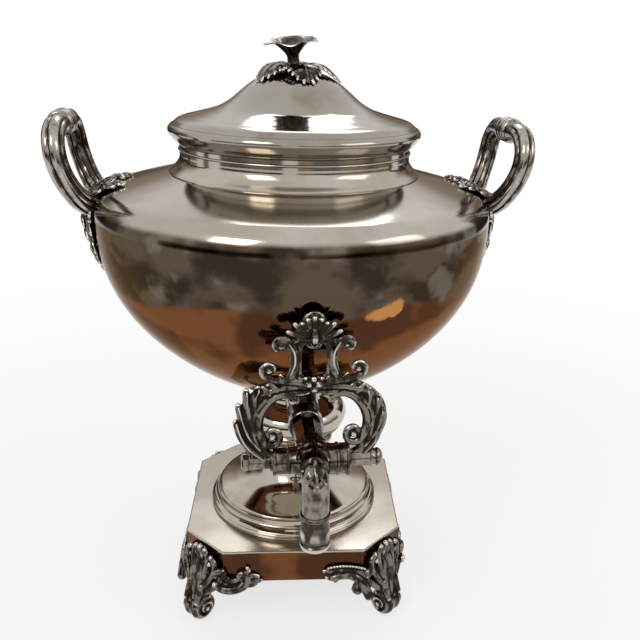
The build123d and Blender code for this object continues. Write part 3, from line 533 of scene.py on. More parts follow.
# %% Sizes of the vessel
SHEET = 1.4 * MM
SIDE_POWER = 1.70
FLOOR_POWER = 0.83
FLAT_RADIUS = 16.0 * MM
EDGE_RADIUS = 18.0 * MM
SHOULDER_SLOPE = math.radians(15.0)
COLLAR_FLARE = 8.0 * MM
foot_angle = math.acos((FLAT_RADIUS / bowl_radius) ** (1 / SIDE_POWER))
bowl_depth = (rim_height - bowl_foot) / math.sin(foot_angle) ** FLOOR_POWER
collar_radius = lid_radius - 7.75 * MM
EDGE_TURN = 90 - math.degrees(SHOULDER_SLOPE)
POLE = 0.5 * MM  # a turned outline stops this far from the axis
print("bowl depth", round(bowl_depth, 4), "collar radius", round(collar_radius, 4))

# %% Outlines of the vessel
def bowl_side(grow, steps=70):
    points = []
    for step in range(steps + 1):
        angle = foot_angle * (1 - step / steps) ** 1.25
        slope_r = SIDE_POWER * bowl_radius * math.cos(angle) ** (SIDE_POWER - 1) * math.sin(angle)
        sine = max(math.sin(angle), 1e-9)
        slope_z = FLOOR_POWER * bowl_depth * sine ** (FLOOR_POWER - 1) * math.cos(angle)
        length = math.hypot(slope_r, slope_z)
        radius = bowl_radius * math.cos(angle) ** SIDE_POWER
        height = rim_height - bowl_depth * math.sin(angle) ** FLOOR_POWER
        points.append((radius + grow * slope_z / length, height - grow * slope_r / length))
    return points


def edge_point(turn, grow):
    angle = math.radians(turn)
    return (bowl_radius - EDGE_RADIUS + (EDGE_RADIUS + grow) * math.cos(angle),
            rim_height + (EDGE_RADIUS + grow) * math.sin(angle))


edge_end = edge_point(EDGE_TURN, 0)


def cone_point(radius, grow):
    height = edge_end[1] + (edge_end[0] - radius) * math.tan(SHOULDER_SLOPE)
    return (radius, height + grow / math.cos(SHOULDER_SLOPE))


# %% Bowl
outside = [(POLE, bowl_foot)] + bowl_side(0)
inside = bowl_side(-SHEET)
inside[0] = (inside[0][0], bowl_foot + SHEET)
bowl_outline = outside + inside[::-1] + [(POLE, bowl_foot + SHEET)]
dressed(turned("bowl_sheet", bowl_outline, bowl_plate), "root", "bright_plate", "bowl")

# %% Shoulder
def shoulder_side(grow, edge_steps=16, cone_steps=10):
    """The shoulder from the rim to the collar's mouth: the rolled edge and then the cone."""
    edge = [edge_point(EDGE_TURN * step / edge_steps, grow) for step in range(edge_steps + 1)]
    cone_run = collar_radius - SHEET - edge_end[0]
    return edge + [cone_point(edge_end[0] + cone_run * step / cone_steps, grow)
                   for step in range(1, cone_steps + 1)]


shoulder_outline = shoulder_side(0) + shoulder_side(-SHEET)[::-1]
dressed(turned("shoulder_sheet", shoulder_outline, shoulder_plate), "root", "bright_plate", "shoulder")

# %% Collar
BEAD_SIZE = 0.9 * MM
BEAD_LENGTH = 2 * MM
collar_base = cone_point(collar_radius, 0)[1]
flare_reach = collar_radius + COLLAR_FLARE
flare = smooth_run([(flare_reach, cone_point(flare_reach, 0)[1] + 0.8 * MM)]
                   + steps_from(collar_radius, collar_base, [(3.2, 3), (0.2, 8), (0, 12)]))
bead_low = collar_top - 4.6 * MM
bead = [(collar_radius + BEAD_SIZE * math.sin(math.pi * step / 6), bead_low + BEAD_LENGTH * step / 6)
        for step in range(7)]
collar_outline = flare + bead + [(collar_radius, collar_top), (collar_radius - SHEET, collar_top),
                                 cone_point(collar_radius - SHEET, 0.1 * MM),
                                 cone_point(flare_reach, 0.1 * MM)]
dressed(turned("collar_sheet", collar_outline, shoulder_plate), "root", "bright_plate", "collar")

# %% [markdown]
# ## Lid
# The lid is a ring that drops inside the collar, a fat rounded bead above it, and a dome that sweeps up
# to the finial like a tent held in the middle. The dome's outline is a list of how far in and how far up
# each point lies, because its slope changes twice and no simple rule follows it.

# %% Lid sheets
FLANGE_DEPTH = 8.7 * MM
FLANGE_FOLD = 2.2 * MM
flange = collar_radius - SHEET - 0.35 * MM
rim_out = smooth_run(steps_from(collar_radius, lid_seat, [(0.4, 0), (4.2, 3.4)])
                     + steps_from(lid_radius, lid_seat, [(0, 9.6), (-0.9, 12.2)])
                     + steps_from(lid_radius, dome_base, [(-2.9, 0)]))
rim_in = smooth_run([(lid_radius - 3.2 * MM, dome_base - SHEET), (lid_radius - SHEET, lid_seat + 9.2 * MM),
                     (collar_radius + 2.9 * MM, lid_seat + 4.6 * MM), (flange, lid_seat + FLANGE_FOLD)])
skirt = [(flange - SHEET, lid_seat + FLANGE_FOLD), (flange - SHEET, lid_seat - FLANGE_DEPTH),
         (flange, lid_seat - FLANGE_DEPTH), (flange, lid_seat)]
dressed(turned("lid_rim_sheet", rim_out + rim_in + skirt, lid_plate), "lid", "bright_plate", "lid_rim",
        "lid_skirt")

dome_rise = dome_top - dome_base
dome_edge = lid_radius - 3.3 * MM
DOME_STEPS = [(0, 0.003), (3.8, 0.084), (12.8, 0.153), (22.8, 0.224), (32.8, 0.311), (40.8, 0.432),
              (48.8, 0.605), (56.8, 0.771), (66.8, 0.916), (77.8, 0.98), (dome_edge / MM - 2.6, 1.0)]


def dome_points(grow):
    return [(dome_edge - inward * MM, dome_base + share * dome_rise + grow) for inward, share in DOME_STEPS]


dome_outline = smooth_run(dome_points(0)) + smooth_run(dome_points(-SHEET))[::-1]
dressed(turned("lid_dome_sheet", dome_outline, lid_plate), "lid", "bright_plate", "lid_dome")

# %% [markdown]
# ## Pedestal and knop
# The pedestal is a trumpet on a base of three mouldings, and the knop is a squashed ball above a half
# round ring. Both are spun like the bowl, so they are turned in the same way, and the mouldings come from
# one small function.

# %% Pedestal
pedestal_radius = radius_of("pedestal_foot")
LIP = 29.0 * MM
trumpet_out = smooth_run(steps_from(pedestal_radius, plinth_high, [(-7.7, 15.5), (-19.5, 19.3), (-31, 24)])
                         + steps_from(0, plinth_high, [(30.5, 31), (26.8, 39), (26.2, 46), (27.6, 52)])
                         + [(LIP, pedestal_top)])
trumpet_in = moved_left(trumpet_out, SHEET)
trumpet_in[-1] = (LIP - SHEET, pedestal_top)


def base_steps(*steps):
    return steps_from(pedestal_radius, plinth_high, steps)


def moulding(inset, rise, size, steps=6):
    """Half round bead on the base's stepped side, from its top down, in millimetres."""
    return base_steps(*((size * math.sin(math.pi * step / steps) - inset, rise - 2 * size * step / steps)
                        for step in range(steps + 1)))


base_side = (moulding(7.0, 15.0, 0.9) + base_steps((-5.4, 12.4), (-5.0, 9.6))
             + moulding(4.3, 9.0, 1.1) + base_steps((-2.9, 6.4), (-2.4, 5.2))
             + moulding(1.3, 4.6, 1.3) + base_steps((-1.0, 1.6), (0, 1.0), (0, 0)))
base_inside = [(pedestal_radius - SHEET, plinth_high)] + base_steps((-8.2, 11))
pedestal_outline = trumpet_out[::-1] + base_side + base_inside + trumpet_in
dressed(turned("pedestal_sheet", pedestal_outline, stem_plate), "root", "bright_plate", "pedestal_foot")

# %% Ring and knop
ring_radius = radius_of("stem_ring")
ring_half = (knop_low - pedestal_top) / 2
ring_outline = [(ring_radius - ring_half + ring_half * math.sin(math.pi * step / 10),
                 pedestal_top + ring_half * (1 - math.cos(math.pi * step / 10))) for step in range(11)]
ring_outline += [(LIP - 3 * MM, knop_low), (LIP - 3 * MM, pedestal_top)]
dressed(turned("stem_ring_bead", ring_outline, stem_plate), "root", "bright_plate", "stem_ring")

KNOP_BORE = 18.5 * MM
knop_radius = radius_of("knop")
knop_out = smooth_run([(LIP - 0.5 * MM, knop_low)]
                      + steps_from(knop_radius, knop_low,
                                   [(-9.4, 5.6), (-2.6, 13.2), (0, 21.8), (-3, 29), (-10, 33.4)])
                      + [(24 * MM, knop_high)])
knop_in = moved_left(knop_out, SHEET)
knop_outline = knop_out + [(KNOP_BORE, knop_high), (KNOP_BORE, knop_high - SHEET)] + knop_in[-2::-1]
dressed(turned("knop_sheet", knop_outline, stem_plate), "root", "bright_plate", "knop")

# %% [markdown]
# ## Castings
# Feet, lever, leaves and finial are castings. They could be sculpted by hand, but a script can't hold a
# brush, so each is drawn as a bundle of strands: a strand is a round-ended tube through a few points,
# thick or thin as it goes, and flattened where a leaf is wanted. The bundle is then melted into one skin
# on a fine grid and smoothed, which rounds the joints between strands as wax and molten metal do.

# %% Strands
def unit(rows):
    """Vectors scaled to length one."""
    return rows / np.maximum(np.linalg.norm(rows, axis=-1, keepdims=True), 1e-9)


class Casting:
    """Strands in millimetres (across, up, out), laid into the model by a placing function."""

    def __init__(self, place, weight=1.0):
        self.place = place
        self.weight = weight
        self.vertices = []
        self.faces = []

    def ring_stack(self, rings):
        """Joins a stack of rings of points, with a face over each end."""
        self.faces.extend(grid_faces(len(rings), len(rings[0]), len(self.vertices)))
        for ring in rings:
            self.vertices.extend(self.place(*point) for point in ring)

    def strand(self, points, flat=1.0, out_axis=(0, 0, 1), sides=10, per_span=5):
        """A tube through (across, up, out, radius) points, squashed along the out axis."""
        run = np.array(smooth_run(points, per_span))
        centres, radii = run[:, :3], run[:, 3] * self.weight
        tangents = unit(np.gradient(centres, axis=0))
        stations = list(zip(centres, tangents, radii))
        for turn in (math.radians(25), math.radians(50), math.radians(75)):
            for end, way in ((0, -1), (-1, 1)):
                station = (centres[end] + way * tangents[end] * (radii[end] * math.sin(turn)), tangents[end],
                           radii[end] * math.cos(turn))
                stations.insert(0 if way < 0 else len(stations), station)
        rings = []
        for centre, tangent, radius in stations:
            sideways = unit(np.cross(tangent, out_axis))
            outwards = np.cross(sideways, tangent)
            rings.append([centre + radius * (math.cos(2 * math.pi * side / sides) * sideways
                                             + flat * math.sin(2 * math.pi * side / sides) * outwards)
                          for side in range(sides)])
        self.ring_stack(rings)

    def ball(self, across, up, out, size):
        self.strand([(across, up, out, size), (across + 0.1, up, out, size)])

    def curl(self, centre, start_radius, start_angle, turn, out, thick, eye):
        """A spiral strand that winds into a ball."""
        points = []
        for step in range(13):
            share = step / 12
            reach = start_radius * (1 - 0.78 * share)
            angle = math.radians(start_angle + turn * share)
            points.append((centre[0] + reach * math.cos(angle), centre[1] + reach * math.sin(angle), out,
                           thick * (1 - 0.35 * share)))
        self.strand(points, per_span=3)
        self.strand([(centre[0] - 0.1, centre[1], out, eye), (centre[0] + 0.1, centre[1], out, eye)])


# %% Leaves made of strands
def leaf(casting, spine, width, lobes, lift, thick, sheet):
    """A leaf on a spine of (across, up, out) points: a rib, a thin sheet and fingers on both sides."""
    run = np.array(smooth_run(spine, 8))
    tangents = unit(np.gradient(run, axis=0))
    last = len(run) - 1

    def half_width(share):
        return width * math.sin(math.pi * (0.18 + 0.74 * share)) ** 0.8

    rib = []
    blade = []
    for share in (0.0, 0.25, 0.5, 0.75, 1.0):
        across, up, out = run[round(last * share)]
        rib.append((across, up, out + 0.5 * lift, thick * (1.1 - 0.5 * share)))
        blade.append((across, up, out - 0.2 * lift, max(half_width(share) * 0.82, 0.6)))
    casting.strand(rib)
    casting.strand(blade, flat=sheet / max(width, 1.0))
    for lobe in range(lobes):
        share = (lobe + 0.45) / (lobes + 0.35)
        root, ahead = run[round(last * share)], tangents[round(last * share)]
        aside = np.array((-ahead[1], ahead[0], 0.0))
        for side in (-1, 1):
            middle = root + half_width(share) * (0.55 * side * aside + 0.22 * ahead) + (0, 0, 0.5 * lift)
            tip = root + half_width(share) * (0.95 * side * aside + 0.62 * ahead) + (0, 0, 0.2 * lift)
            casting.strand([(*root, thick * 0.9), (*middle, thick * 1.75), (*tip, thick * 1.15)], flat=0.62,
                           sides=8, per_span=4)


# %% The number that tells hollows from ridges
RECESS_DEPTH = 0.5 * MM


def rows_of(items, key, width, kind=float):
    """A row of numbers for each corner or edge of a mesh."""
    rows = np.empty(len(items) * width, dtype=kind)
    items.foreach_get(key, rows)
    return rows.reshape(-1, width)


def averaged(points, pairs, share):
    """Moves every point towards the mean of its neighbours."""
    count = len(points)
    near = np.bincount(pairs.ravel(), minlength=count)[:, None]
    total = np.zeros_like(points)
    for axis in range(3):
        total[:, axis] = (np.bincount(pairs[:, 0], points[pairs[:, 1], axis], count)
                          + np.bincount(pairs[:, 1], points[pairs[:, 0], axis], count))
    return points + share * (total / np.maximum(near, 1) - points)


def add_recess(mesh):
    """Writes how far each corner lies under the smoothed skin, from 0 on ridges to 1 in hollows."""
    points = rows_of(mesh.vertices, "co", 3)
    pairs = rows_of(mesh.edges, "vertices", 2, np.int32)
    normals = rows_of(mesh.vertex_normals, "vector", 3)
    soft = points
    for step in range(16):
        soft = averaged(soft, pairs, 0.9)
    hollow = ((soft - points) * normals).sum(axis=1) / RECESS_DEPTH
    layer = mesh.attributes.new("recess", "FLOAT", "POINT")
    layer.data.foreach_set("value", np.clip(0.5 + 0.5 * hollow, 0.0, 1.0).astype(np.float32))


# %% The melt
GRID = 0.5 * MM


def melted(casting, name, material, grid=GRID, smoothing=2, lowest=None):
    """The bundle as one skin, smoothed without much shrinking, with its recess values."""
    rough = new_piece(name + "_strands", casting.vertices, casting.faces, material)
    melt = rough.modifiers.new("melt", "REMESH")
    melt.mode = "VOXEL"
    melt.voxel_size = grid
    mesh = bpy.data.meshes.new_from_object(rough.evaluated_get(bpy.context.evaluated_depsgraph_get()))
    bpy.data.objects.remove(rough)
    points = rows_of(mesh.vertices, "co", 3)
    pairs = rows_of(mesh.edges, "vertices", 2, np.int32)
    for step in range(smoothing):
        points = averaged(averaged(points, pairs, 0.55), pairs, -0.35)
    if lowest is not None:
        points[:, 2] = np.maximum(points[:, 2], lowest)
    mesh.vertices.foreach_set("co", points.ravel())
    mesh.update()
    mesh.name = name
    add_recess(mesh)
    mesh.materials.clear()
    mesh.materials.append(material)
    mesh.shade_smooth()
    return in_scene(name, mesh)


# %% [markdown]
# ## The openwork lever
# Seen from the front the lever is a pair of C scrolls with leafy backs, a smaller pair above them beside
# a window, and a shell on top. It could be cut from a plate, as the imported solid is, but the real one is
# round and veined, so it is a bundle of strands. Across is X, up is the height over the plug's axis and
# out is towards the viewer. Left and right share their strands, apart from the blades on their backs,
# which differ on the real one.

# %% Places and blades of the lever
def on_lever(across, up, out):
    return (across * MM, plug_y - out * MM, tap_height + up * MM)


BLADES = {
    -1: [[(32, 4), (40, 11), (45.4, 20), (48.0, 29.0)], [(34, 11), (40.6, 20), (44.4, 31), (46.4, 40.0)],
         [(36, 22), (39.6, 32), (41.2, 42), (41.4, 50.0)], [(35, 34), (36.6, 41), (36.4, 46), (34.0, 51.6)]],
    1: [[(32, 4), (36.5, 9), (40, 14), (42.0, 20.0)], [(34, 11), (39.6, 19), (42.6, 27), (44.2, 34.0)],
        [(35.5, 23), (39.3, 31), (41.0, 37), (40.8, 43.4)], [(33, 34), (35.0, 40), (35.8, 44), (34.8, 48.4)]],
}
lever = Casting(on_lever)


def put(side, points, flat=1.0):
    """A strand of the lever, drawn on the right and mirrored for side -1."""
    lever.strand([(side * across, *rest) for across, *rest in points], flat)


def side_ball(side, across, up, out, size):
    put(side, [(across, up, out, size), (across + 0.1, up, out, size)])


# %% Big scrolls
def big_scroll(side):
    put(side, [(6, 50, 0.2, 4.6), (18, 51.5, 0.3, 5.6), (29.5, 46.5, 0.4, 7.0), (37.2, 38, 0.4, 7.8),
               (39.4, 28, 0.4, 7.8), (37.6, 19, 0.4, 6.8), (34.0, 11, 0.3, 5.4), (31.6, 3.5, 0.2, 4.4)],
        flat=0.34)
    put(side, [(11.6, 42.4, 1.0, 2.5), (12.6, 45.6, 1.0, 2.6), (18.8, 47.2, 1.1, 2.9), (25.4, 44.4, 1.2, 3.0),
               (30.8, 38.2, 1.2, 3.1), (33.7, 31, 1.2, 3.1), (33.9, 24, 1.2, 3.0), (32.2, 17.4, 1.1, 2.9),
               (28.6, 12.6, 1.0, 2.6), (23.8, 12.4, 1.0, 2.4), (20.9, 16.2, 1.0, 2.2), (21.8, 21.2, 1.0, 2.1),
               (25.8, 23.0, 1.0, 1.9), (28.6, 20.4, 1.0, 1.8), (27.6, 17.6, 1.0, 1.6)])
    side_ball(side, 25.6, 18.2, 1.4, 2.6)
    side_ball(side, 12.6, 42.6, 1.6, 2.7)
    put(side, [(29.6, 44.2, 2.8, 0.8), (35.2, 37, 3.0, 0.9), (37.6, 29, 3.0, 0.9), (37.0, 20, 2.8, 0.9),
               (33.6, 10.5, 2.2, 0.8)])
    for blade in BLADES[side]:
        put(side, [(across, up, 0.7 + 0.7 * index / len(blade), 3.5 - 0.42 * index)
                   for index, (across, up) in enumerate(blade)], flat=0.72)
        put(side, [(across - 0.5, up - 1.0, 2.9 + 0.2 * index / len(blade), 1.0 - 0.1 * index)
                   for index, (across, up) in enumerate(blade)])


# %% Arms, small scrolls and legs
def arm(side):
    put(side, [(2, 52, 1.6, 2.0), (10, 55.4, 2.0, 2.4), (18, 56.4, 2.0, 2.4), (25, 57.6, 1.7, 2.2),
               (30.6, 60.2, 1.5, 2.1), (31.4, 64.6, 1.4, 2.0), (28.2, 67.4, 1.4, 1.9), (24.6, 65.4, 1.4, 1.6),
               (25.4, 62.6, 1.4, 1.4)])
    side_ball(side, 27.4, 63.6, 1.6, 2.6)
    put(side, [(3, 51, 1.4, 1.8), (11, 52.2, 2.2, 2.0), (20, 51.6, 2.2, 2.0), (28, 49.4, 1.9, 1.8),
               (33.6, 47.4, 1.4, 1.4)])
    put(side, [(4, 48, 1.2, 1.6), (10, 47.6, 2.0, 1.9), (17, 50.2, 1.8, 1.4)])
    for reach, rise in ((10, 58.6), (15, 60.4), (20.5, 60.0), (26, 54.4), (31, 52.4)):
        put(side, [(reach - 5.5, rise - 6.5, 1.8, 1.3), (reach - 2.2, rise - 2.6, 2.5, 1.8),
                   (reach, rise, 1.6, 1.3)], flat=0.8)


def small_scroll(side):
    put(side, [(15.6, 57.2, 0.9, 3.0), (12.6, 62.4, 1.0, 3.0), (11.7, 68.4, 1.0, 2.9), (11.9, 74.0, 1.0, 2.9),
               (13.8, 79.2, 1.1, 3.0), (17.4, 82.8, 1.1, 3.1), (21.4, 83.0, 1.0, 2.8), (23.4, 80.0, 1.0, 2.4),
               (22.4, 77.2, 0.9, 2.0)])
    side_ball(side, 20.0, 79.8, 1.4, 3.3 if side < 0 else 2.2)
    put(side, [(15.6, 81.6, 3.6, 0.8), (12.3, 75.5, 3.7, 0.8), (11.9, 68, 3.7, 0.8), (14.2, 61, 3.5, 0.8)])
    put(side, [(9.4, 55.5, 0.2, 2.0), (9.3, 64, 0.4, 1.7), (9.3, 73, 0.4, 1.8), (9.0, 79, 0.4, 2.2),
               (6.2, 83, 0.8, 2.4)])
    put(side, [(2.6, 82.8, 2.2, 2.0), (6.8, 84.6, 2.3, 2.4), (11.4, 86.2, 1.8, 2.2), (15.8, 88.0, 1.2, 1.6)])
    put(side, [(4.6, 86, 2.4, 1.8), (8.8, 89.6, 2.0, 2.0), (11.8, 93.0, 1.4, 1.5)])


def leg(side):
    put(side, [(30.4, 0.5, 0, 4.4), (31.6, 6, 0, 4.2), (32.4, 11, 0, 3.8)], flat=0.8)
    put(side, [(25.6, 4.6, 0.3, 2.2), (29.2, 7.0, 0.8, 2.4), (31.6, 12, 1.2, 2.0)])
    put(side, [(37.4, 4.8, 0.3, 2.0), (35.2, 8.0, 0.8, 2.2), (34.6, 13, 1.2, 1.8)])


for side in (-1, 1):
    big_scroll(side)
    arm(side)
    small_scroll(side)
    leg(side)
print("lever strands", len(lever.vertices), "points")

# %% Middle and shell
SHELL_FOOT = 81.6
RAYS = 11
RAY_STEP = math.radians(15.6)
lever.strand([(-8, 58.4, 0, 2.0), (0, 56.6, 0.2, 2.2), (8, 58.4, 0, 2.0)])
lever.strand([(-9.2, 79.2, 0.2, 2.4), (-5, 83.4, 0.6, 2.6), (0, 85.0, 0.8, 2.8), (5, 83.4, 0.6, 2.6),
              (9.2, 79.2, 0.2, 2.4)])
for ray in range(RAYS):
    lean = (ray - (RAYS - 1) / 2) * RAY_STEP
    length = 16.9 - 3.4 * abs(math.sin(lean)) ** 1.5
    across = length * math.sin(lean) * 0.92
    up = SHELL_FOOT + length * math.cos(lean)
    lever.strand([(1.8 * math.sin(lean), 83.5, 1.0, 1.3),
                  (0.62 * across, SHELL_FOOT + 0.6 * (up - SHELL_FOOT), 2.1, 1.7),
                  (across, up - 2.2, 1.2, 2.1)], flat=0.9)
    lever.strand([(across, up - 2.2, 1.6, 1.8), (across + 0.05, up - 2.1, 1.6, 1.8)])
lever.strand([(0, 82, 0, 6.0), (0, 90, 0, 10.0), (0, 92.5, 0, 8.0)], flat=0.14)
lever.strand([(0, 80.6, 2.0, 2.6), (0, 84.5, 3.4, 3.2), (0, 89, 3.0, 1.8)])
for across, up, size in ((-3.4, 53.6, 2.7), (3.2, 53.4, 2.7), (0.2, 50.2, 2.5), (-0.2, 57.0, 2.2),
                         (-5.6, 57.4, 1.9), (5.0, 57.2, 1.9)):
    lever.ball(across, up, 1.9, size)
dressed(melted(lever, "lever_casting", cast_silver, smoothing=3), "tap_lever", "cast_plate", "yoke_lever")

# %% Eyes on the plug's spindle
def along_plug(name, outline, steps=64, smooth_angle=35.0):
    """A turned piece laid on the plug's axis: the outline's height becomes X, in millimetres."""
    piece = turned(name, steps_from(0, 0, outline), tap_silver, steps, smooth_angle)
    piece.data.transform(Matrix.Translation((0, plug_y, tap_height)) @ Matrix.Rotation(math.pi / 2, 4, "Y"))
    return piece


left_eye = [(3.5, -40.7), (4.4, -40.7), (4.9, -40.0), (4.75, -34), (4.75, -28.5), (5.0, -27.4), (4.6, -26.9),
            (3.5, -26.9)]
right_eye = [(3.5, 23.9), (5.0, 23.9), (5.5, 24.5), (5.4, 30), (5.6, 36.6), (6.0, 37.0), (6.1, 37.8),
             (5.7, 38.4), (5.6, 40.2), (5.2, 40.7), (3.5, 40.7)]
dressed(along_plug("left_eye", left_eye), "tap_lever", "cast_plate")
dressed(along_plug("right_eye", right_eye), "tap_lever", "cast_plate")

# %% [markdown]
# ## Scroll feet
# Each foot clasps a cut corner of the plinth: an acanthus leaf on the corner's face, a knee that runs
# down to a roll, a curled wing on one side's apron and a swept, beaded wing on the other. Across runs
# along the corner's face, up is the height and out points away from the axis. Four feet could be drawn
# one by one, but a founder casts them from one pattern, so one mesh is turned to the four corners.

# %% Places on a foot
CORNER_FACE = 98.29
CORNER_HALF = 21.92
APRON_LOW = plinth_low / MM
ROLL_RADIUS = 11.0
ROLL_OUT = 7.1
HALF_SQUARE = math.sqrt(0.5)


def on_corner(across, up, out):
    return ((CORNER_FACE + out) * MM, across * MM, up * MM)


def wing_point(side, away, rise, out):
    """A point on the apron beside the corner, as (across, up, out) of the corner's face."""
    return (side * (CORNER_HALF + away * HALF_SQUARE + out * HALF_SQUARE), APRON_LOW + rise,
            (out - away) * HALF_SQUARE)


def on_roll(across, reach, angle):
    """A point round the roll under the knee."""
    return (across, ROLL_RADIUS + reach * math.sin(angle), ROLL_OUT + reach * math.cos(angle))


foot = Casting(on_corner, weight=1.22)


def wing(side, points, flat=1.0):
    run = [(*wing_point(side, away, rise, out), radius) for away, rise, out, radius in points]
    foot.strand(run, flat, out_axis=(side * HALF_SQUARE, 0, HALF_SQUARE))


def corner(points):
    for side in (-1, 1):
        foot.strand([(side * across, APRON_LOW + up, out, size) for across, up, out, size in points])


# %% Leaf on the corner
foot.strand([(0, APRON_LOW - 9, 3.4, 8), (0, APRON_LOW + 2, 2.0, 14), (0, APRON_LOW + 8, 1.6, 13.5),
             (0, APRON_LOW + 12, 1.5, 10)], flat=0.12, sides=24)
foot.strand([(0, 12, 7.2, 6.8), (0, 21, 7.6, 6.8), (0, 30, 6.6, 7.8), (0, 38, 4.4, 9.5), (0, 45, 2.6, 9)],
            flat=0.55, sides=16)
corner([(0.3, -20, 12.0, 1.5), (0.2, -10, 11.0, 1.8), (0.2, 0, 8.2, 2.0), (0.2, 10, 5.4, 1.9),
        (0.2, 19, 3.8, 1.6), (0.2, 23.5, 4.0, 1.9)])
corner([(3.4, -19, 11.4, 1.4), (4.2, -9, 9.8, 1.9), (6.0, 1, 6.6, 2.0), (8.0, 11, 4.2, 1.9),
        (7.4, 19, 3.6, 1.8), (5.2, 22.6, 3.8, 1.7)])
corner([(6.2, -17, 10, 1.4), (8.0, -8, 8.0, 2.1), (12, 0, 5.0, 2.2), (15.8, 8.5, 3.4, 2.1),
        (15.4, 15.5, 3.2, 1.9), (12.2, 18.8, 3.4, 1.8)])
corner([(7.6, -15, 8, 1.6), (11.5, -10, 6.4, 2.4), (17, -4.5, 4.2, 2.4), (21, 1.5, 3.0, 2.2),
        (20.6, 7.0, 2.8, 1.9), (17.4, 8.2, 3.0, 1.4)])
corner([(17.6, 4.6, 3.2, 2.3), (17.7, 4.6, 3.2, 2.3)])
corner([(10.4, 12.6, 4.0, 1.9), (10.5, 12.6, 4.0, 1.9)])
corner([(2.6, 14.5, 4.0, 1.2), (3.0, 18, 4.4, 1.5), (2.2, 21, 4.4, 1.3)])
print("foot strands", len(foot.vertices), "points")

# %% Roll under the knee
ROLL_SIDES = 40
ROLL_RINGS = ((-7.4, 3.0), (-7.0, 1.2), (-4.2, 0.2), (0, 1.0), (4.2, 0.2), (7.0, 1.2), (7.4, 3.0))
foot.ring_stack([[on_roll(across, ROLL_RADIUS - inset, 2 * math.pi * step / ROLL_SIDES)
                  for step in range(ROLL_SIDES)] for across, inset in ROLL_RINGS])
for side in (-1, 1):
    spiral = []
    for step in range(16):
        share = step / 15
        where = on_roll(side * (7.2 + 0.9 * share), 9.3 * (1 - 0.72 * share), math.radians(110 - 500 * share))
        spiral.append((*where, 1.6 - 0.4 * share))
    foot.strand(spiral, out_axis=(1, 0, 0), per_span=3)
    foot.strand([(side * 7.4, ROLL_RADIUS, ROLL_OUT, 2.5), (side * 8.2, ROLL_RADIUS, ROLL_OUT, 2.2)],
                out_axis=(0, 1, 0))
    foot.strand([(side * 6.4, 19, 14.6, 1.8), (side * 6.2, 25, 12.4, 2.2), (side * 6.8, 32, 9.6, 2.2)])

# %% Curled wing
wing(1, [(-5.5, 6.5, 2.0, 1.6), (-4.8, 10.4, 2.0, 2.2), (-1.0, 11.2, 2.0, 2.2), (0.6, 7.6, 2.2, 2.0),
         (-1.6, 5.4, 2.4, 1.6)])
wing(1, [(0.4, 9, 2.0, 1.8), (2.4, 4.6, 2.2, 1.9), (7.5, 2.6, 2.4, 1.9), (11.6, 3.6, 2.2, 1.5)])
wing(1, [(-6, 0, 3.4, 2.2), (-2, -4.6, 3.0, 2.4), (4.5, -6.6, 2.6, 2.6), (12, -5.2, 2.4, 2.6),
         (17.6, -0.8, 2.2, 2.5), (18.6, 5.2, 2.2, 2.3), (15.2, 8.8, 2.2, 2.1), (11.8, 6.8, 2.2, 1.8),
         (13.4, 4.0, 2.4, 1.7)])
wing(1, [(-4, -1.6, 4.4, 0.9), (4, -3.6, 4.2, 1.0), (11, -2.6, 4.0, 1.0), (14.6, 1.2, 3.8, 0.9)])
wing(1, [(2, -2, 1.2, 4.4), (10, -1.5, 1.2, 4.4), (16, 3.5, 1.2, 4.4)], flat=0.4)
wing(1, [(17, 1, 1.8, 2.6), (22, 1.5, 1.8, 2.2), (28.8, 1.6, 1.6, 1.6)], flat=0.8)
wing(1, [(18, 5, 1.8, 2.2), (22.4, 6.6, 1.8, 1.9), (26.4, 5.6, 1.6, 1.5)], flat=0.8)
wing(1, [(17.4, -1.4, 2, 1.9), (21.6, -2.4, 2, 1.7), (24.8, -1.2, 1.8, 1.4)], flat=0.8)
wing(1, [(17.2, 9.2, 2, 1.6), (19.6, 11.6, 2, 1.5), (18.4, 13.8, 2, 1.3)])

# %% Swept wing with its beads
wing(-1, [(-5, -13, 4.5, 3.2), (-1.2, -5, 3.2, 3.3), (3.2, 1.4, 2.4, 3.2), (9.6, 4.8, 2.2, 2.9),
          (17, 5.0, 2.2, 2.7), (24, 3.2, 2.2, 2.4), (27.6, 4.4, 2.2, 2.0)])
wing(-1, [(2.4, -1.5, 2.4, 2.4), (5.2, -4.6, 2.6, 2.3), (6.0, -8.6, 2.8, 2.2), (3.4, -10.8, 2.8, 1.9),
          (1.8, -8.6, 3, 1.6)])
wing(-1, [(-2.5, 4, 2.6, 1.9), (3.4, 8.2, 1.6, 1.9), (12, 10, 1.4, 1.9), (21, 9.6, 1.4, 1.9),
          (28.4, 7.8, 1.4, 2.1)], flat=0.8)
wing(-1, [(0, 3, 1.0, 4.2), (10, 7.0, 1.0, 3.8), (22, 6.4, 1.0, 3.4)], flat=0.35)
wing(-1, [(20, 1.4, 2, 1.5), (21.6, -0.4, 2, 1.3)])
wing(-1, [(27.6, 9.4, 1.8, 1.7), (30.4, 9.4, 1.8, 1.3)])
BEADS = 13
for bead_index in range(BEADS):
    share = bead_index / (BEADS - 1)
    away = 28 * share - 1
    rise = 9.0 + 4.6 * math.sin(math.pi * (0.12 + 0.66 * share))
    wing(-1, [(away, rise, 2.2, 1.05), (away + 0.05, rise, 2.2, 1.05)])

# %% Four feet
def turned_copy(piece, name, angle):
    """A copy of a piece, turned about the Z axis."""
    made = in_scene(name, piece.data.copy())
    made.data.transform(Matrix.Rotation(angle, 4, "Z"))
    return made


